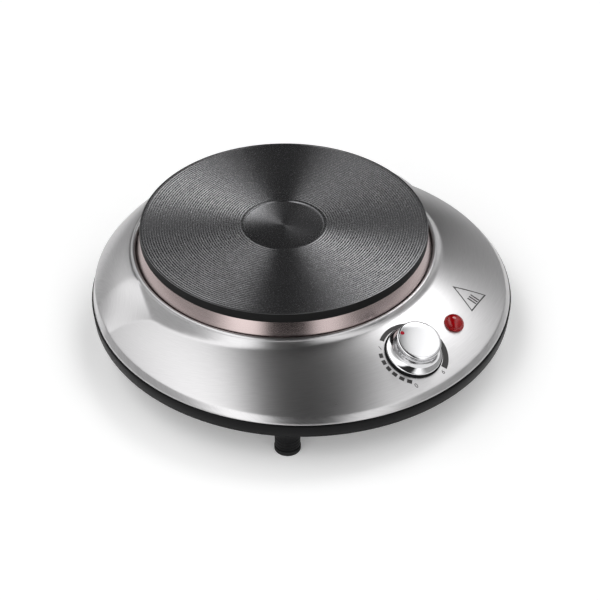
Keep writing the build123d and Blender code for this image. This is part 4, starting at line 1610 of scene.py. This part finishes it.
@dataclass
class Studio:
    """Floor, lights and camera."""

    target: Vector = field(default_factory=lambda: Vector((8.0, 11.3, 4.33)) * MM)
    azimuth: float = math.radians(-39.1)
    elevation: float = math.radians(38.57)
    distance: float = 1245.3 * MM
    lens: float = 113.06
    left_edge: Point2 = (0.14, 0.36)
    right_edge: Point2 = (0.22, 0.46)
    left_glow: float = 1.95
    right_glow: float = 1.5
    bank_side: Point2 = (0.52, 0.82)
    bank_back: Point2 = (0.45, 0.85)
    bank_rest: float = 0.25
    key_way: tuple[float, float, float] = (0.27, 0.61, 0.745)
    key_edge: Point2 = (0.972, 0.997)
    key_glow: float = 5.0
    gap_glow: float = 0.03
    floor_glow: float = 0.22
    floor_half: float = 3.0
    sensor: float = 36.0

    def camera(self) -> None:
        """Place the camera."""
        eye = bpy.data.cameras.new("camera")
        eye.sensor_width = self.sensor
        eye.lens = self.lens
        eye.clip_start, eye.clip_end = 0.05, 20.0
        holder = bpy.data.objects.new("camera", eye)
        flat = math.cos(self.elevation)
        sideways, forward = math.sin(self.azimuth) * flat, -math.cos(self.azimuth) * flat
        back = Vector((sideways, forward, math.sin(self.elevation)))
        holder.location = self.target + back * self.distance
        holder.rotation_euler = (-back).to_track_quat("-Z", "Y").to_euler()
        bpy.context.scene.collection.objects.link(holder)
        bpy.context.scene.camera = holder

    def floor(self) -> None:
        """Lay the pale floor."""
        half = self.floor_half
        corners = [(-half, -half, 0.0), (half, -half, 0.0), (half, half, 0.0), (-half, half, 0.0)]
        slab = mesh_object("floor", corners, [(0, 1, 2, 3)], outward=False)
        paint = Shader("floor_paint")
        paint.put(Base_Color=(0.93, 0.93, 0.93, 1.0), Roughness=0.7)
        paint.put(Emission_Color=(1.0, 1.0, 1.0, 1.0), Emission_Strength=self.floor_glow)
        slab.data.materials.append(paint.stuff)

    def room(self) -> None:
        """Surround the object with soft light from both sides and a dark gap along the view."""
        light = RoomLight()
        right = Vector((math.cos(self.azimuth), math.sin(self.azimuth), 0.0))
        away = Vector((-math.sin(self.azimuth), math.cos(self.azimuth), 0.0))
        up = Vector((0.0, 0.0, 1.0))
        behind = light.toward(away, self.bank_back, 1.0, self.bank_rest)
        banks = ((-right, self.left_edge, self.left_glow), (right, self.right_edge, self.right_glow))
        total = self.gap_glow
        for side, edge, power in banks:
            bank = light.join("MULTIPLY", light.toward(side, edge, 0.0, power), behind)
            side_on = light.toward(side, self.bank_side, 1.0, self.bank_rest)
            total = light.join("ADD", total, light.join("MULTIPLY", bank, side_on))
        x, y, z = self.key_way
        key = light.toward((right * x + away * y + up * z).normalized(), self.key_edge, 0.0, self.key_glow)
        light.finish(light.join("ADD", total, key))

    def build(self) -> None:
        """Set the whole studio."""
        self.camera()
        self.floor()
        self.room()


# ---- Putting it together ------------------------------------------------------------------------


def finishes(places: Places) -> dict[str, Finish]:
    """Every finish, by the record's slot name.

    Args:
        places: Measured places of the frame.

    Returns:
        Slot name to finish.
    """
    made = [
        CoatedIron("cast_plate", (0.185, 0.185, 0.19), 0.26, centre_y=places.plate_y),
        CircleBrushed(
            "tinted_steel",
            (0.45, 0.375, 0.36),
            0.22,
            centre_y=places.plate_y,
            anisotropy=0.5,
            streaks=6000.0,
            tint=(0.40, 0.33, 0.33),
        ),
        CircleBrushed("brushed_body", (0.52, 0.515, 0.52), 0.30, centre_y=places.plate_y),
        Moulding("black_moulding", (0.004, 0.004, 0.0045), 0.45),
        Moulding("black_rubber", (0.018, 0.018, 0.018), 0.65, texture=2600.0),
        Moulding("black_sheet", (0.02, 0.02, 0.021), 0.5, texture=1400.0),
        Plating("chrome", (0.70, 0.70, 0.71), 0.05),
        Moulding("red_dot", (0.36, 0.008, 0.02), 0.3, texture=3000.0),
        Glassy("red_lens", (0.46, 0.003, 0.006), 0.06, clearness=0.6, glow=0.08),
        Glassy("clear_glass", (0.9, 0.88, 0.85), 0.03, clearness=0.9),
        DullMetal("zinc_steel", (0.56, 0.56, 0.55), 0.38),
        DullMetal("spring_steel", (0.50, 0.47, 0.44), 0.3),
        DullMetal("brass_part", (0.72, 0.52, 0.24), 0.28),
        DullMetal("silver_contact", (0.82, 0.82, 0.80), 0.22),
        Chalky("steatite", (0.80, 0.77, 0.70), 0.6),
        Chalky("element_cement", (0.42, 0.40, 0.38), 0.9),
        DullMetal("element_sheath", (0.22, 0.21, 0.20), 0.5),
        Chalky("mineral_pad", (0.80, 0.79, 0.74), 0.95, grain=700.0, depth=0.4 * MM),
        Moulding("white_moulding", (0.78, 0.77, 0.73), 0.45),
        Moulding("nylon_part", (0.72, 0.70, 0.64), 0.5),
        Moulding("wire_brown", (0.16, 0.06, 0.025), 0.4),
        Moulding("wire_blue", (0.03, 0.10, 0.35), 0.4),
        Chalky("wire_white", (0.80, 0.79, 0.74), 0.8, grain=2400.0),
        Moulding("wire_green", (0.14, 0.32, 0.05), 0.4),
        Chalky("resistor_body", (0.45, 0.33, 0.2), 0.45),
    ]
    return {finish.name: finish for finish in made}


def dress_frame(frame: dict, made: dict[str, Finish]) -> None:
    """Give every frame node the finish of its slot.

    Args:
        made: Slot name to finish.
    """
    for part in frame["record"]["subparts"]:
        node = frame["nodes"][part["node"]]
        node.data.materials.clear()
        node.data.materials.append(made[part["material_slot"]].material())


def main() -> None:
    """Build the hot plate's looks around its frame."""
    logging.basicConfig(level=logging.INFO, format="%(name)s %(message)s")
    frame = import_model()
    Studio().build()
    places = Places.from_frame(frame)
    made = finishes(places)
    dress_frame(frame, made)

    shell = TopShell(places)
    plate = CastPlate(places)
    knob = ControlKnob(places)
    lamp = PilotLamp(shell)
    places.lens_place = lamp.place
    ink = Ink("dial_ink", (0.03, 0.028, 0.028), 0.5)
    printed = PanelPrint(shell, places, ink)
    under = Underside(places)

    fit(shell.build(), made["brushed_body"], Body.HOUSING, "brushed_body", "top_shell")
    fit(plate.build_casting(), made["cast_plate"], Body.HOUSING, "cast_plate", "hotplate_casting")
    fit(plate.build_trim(), made["tinted_steel"], Body.HOUSING, "tinted_steel", "trim_ring")
    fit(knob.build_knob(), made["chrome"], Body.CONTROL, "chrome", "knob")
    fit(knob.build_dot(), made["red_dot"], Body.CONTROL, "red_dot", "knob_pointer")
    fit(lamp.build(), made["red_lens"], Body.HOUSING, "red_lens", "lamp_lens")
    for piece in printed.build():
        fit(piece, ink, Body.HOUSING, "black_sheet")
    fit(under.build_ring(), made["black_moulding"], Body.HOUSING, "black_moulding", "base_ring")
    for node in under.foot_nodes:
        fit(under.build_foot(node), made["black_moulding"], Body.HOUSING, "black_moulding", node)
    steel, rubber = made["zinc_steel"], made["black_rubber"]
    for node, circle in (("plate_screws", under.plate_circle), ("bracket_screws", under.bracket_circle)):
        fit(under.build_screws(node, circle, steel), steel, Body.HOUSING, steel.name, node)
    fit(under.build_pads(under.foot_circle, rubber), rubber, Body.HOUSING, rubber.name, "foot_pads")
    bezel = made["black_moulding"]
    fit(merged_copy("dial_bezel", "dial_bezel_skin"), bezel, Body.HOUSING, bezel.name, "dial_bezel")


if __name__ == "__main__":
    main()
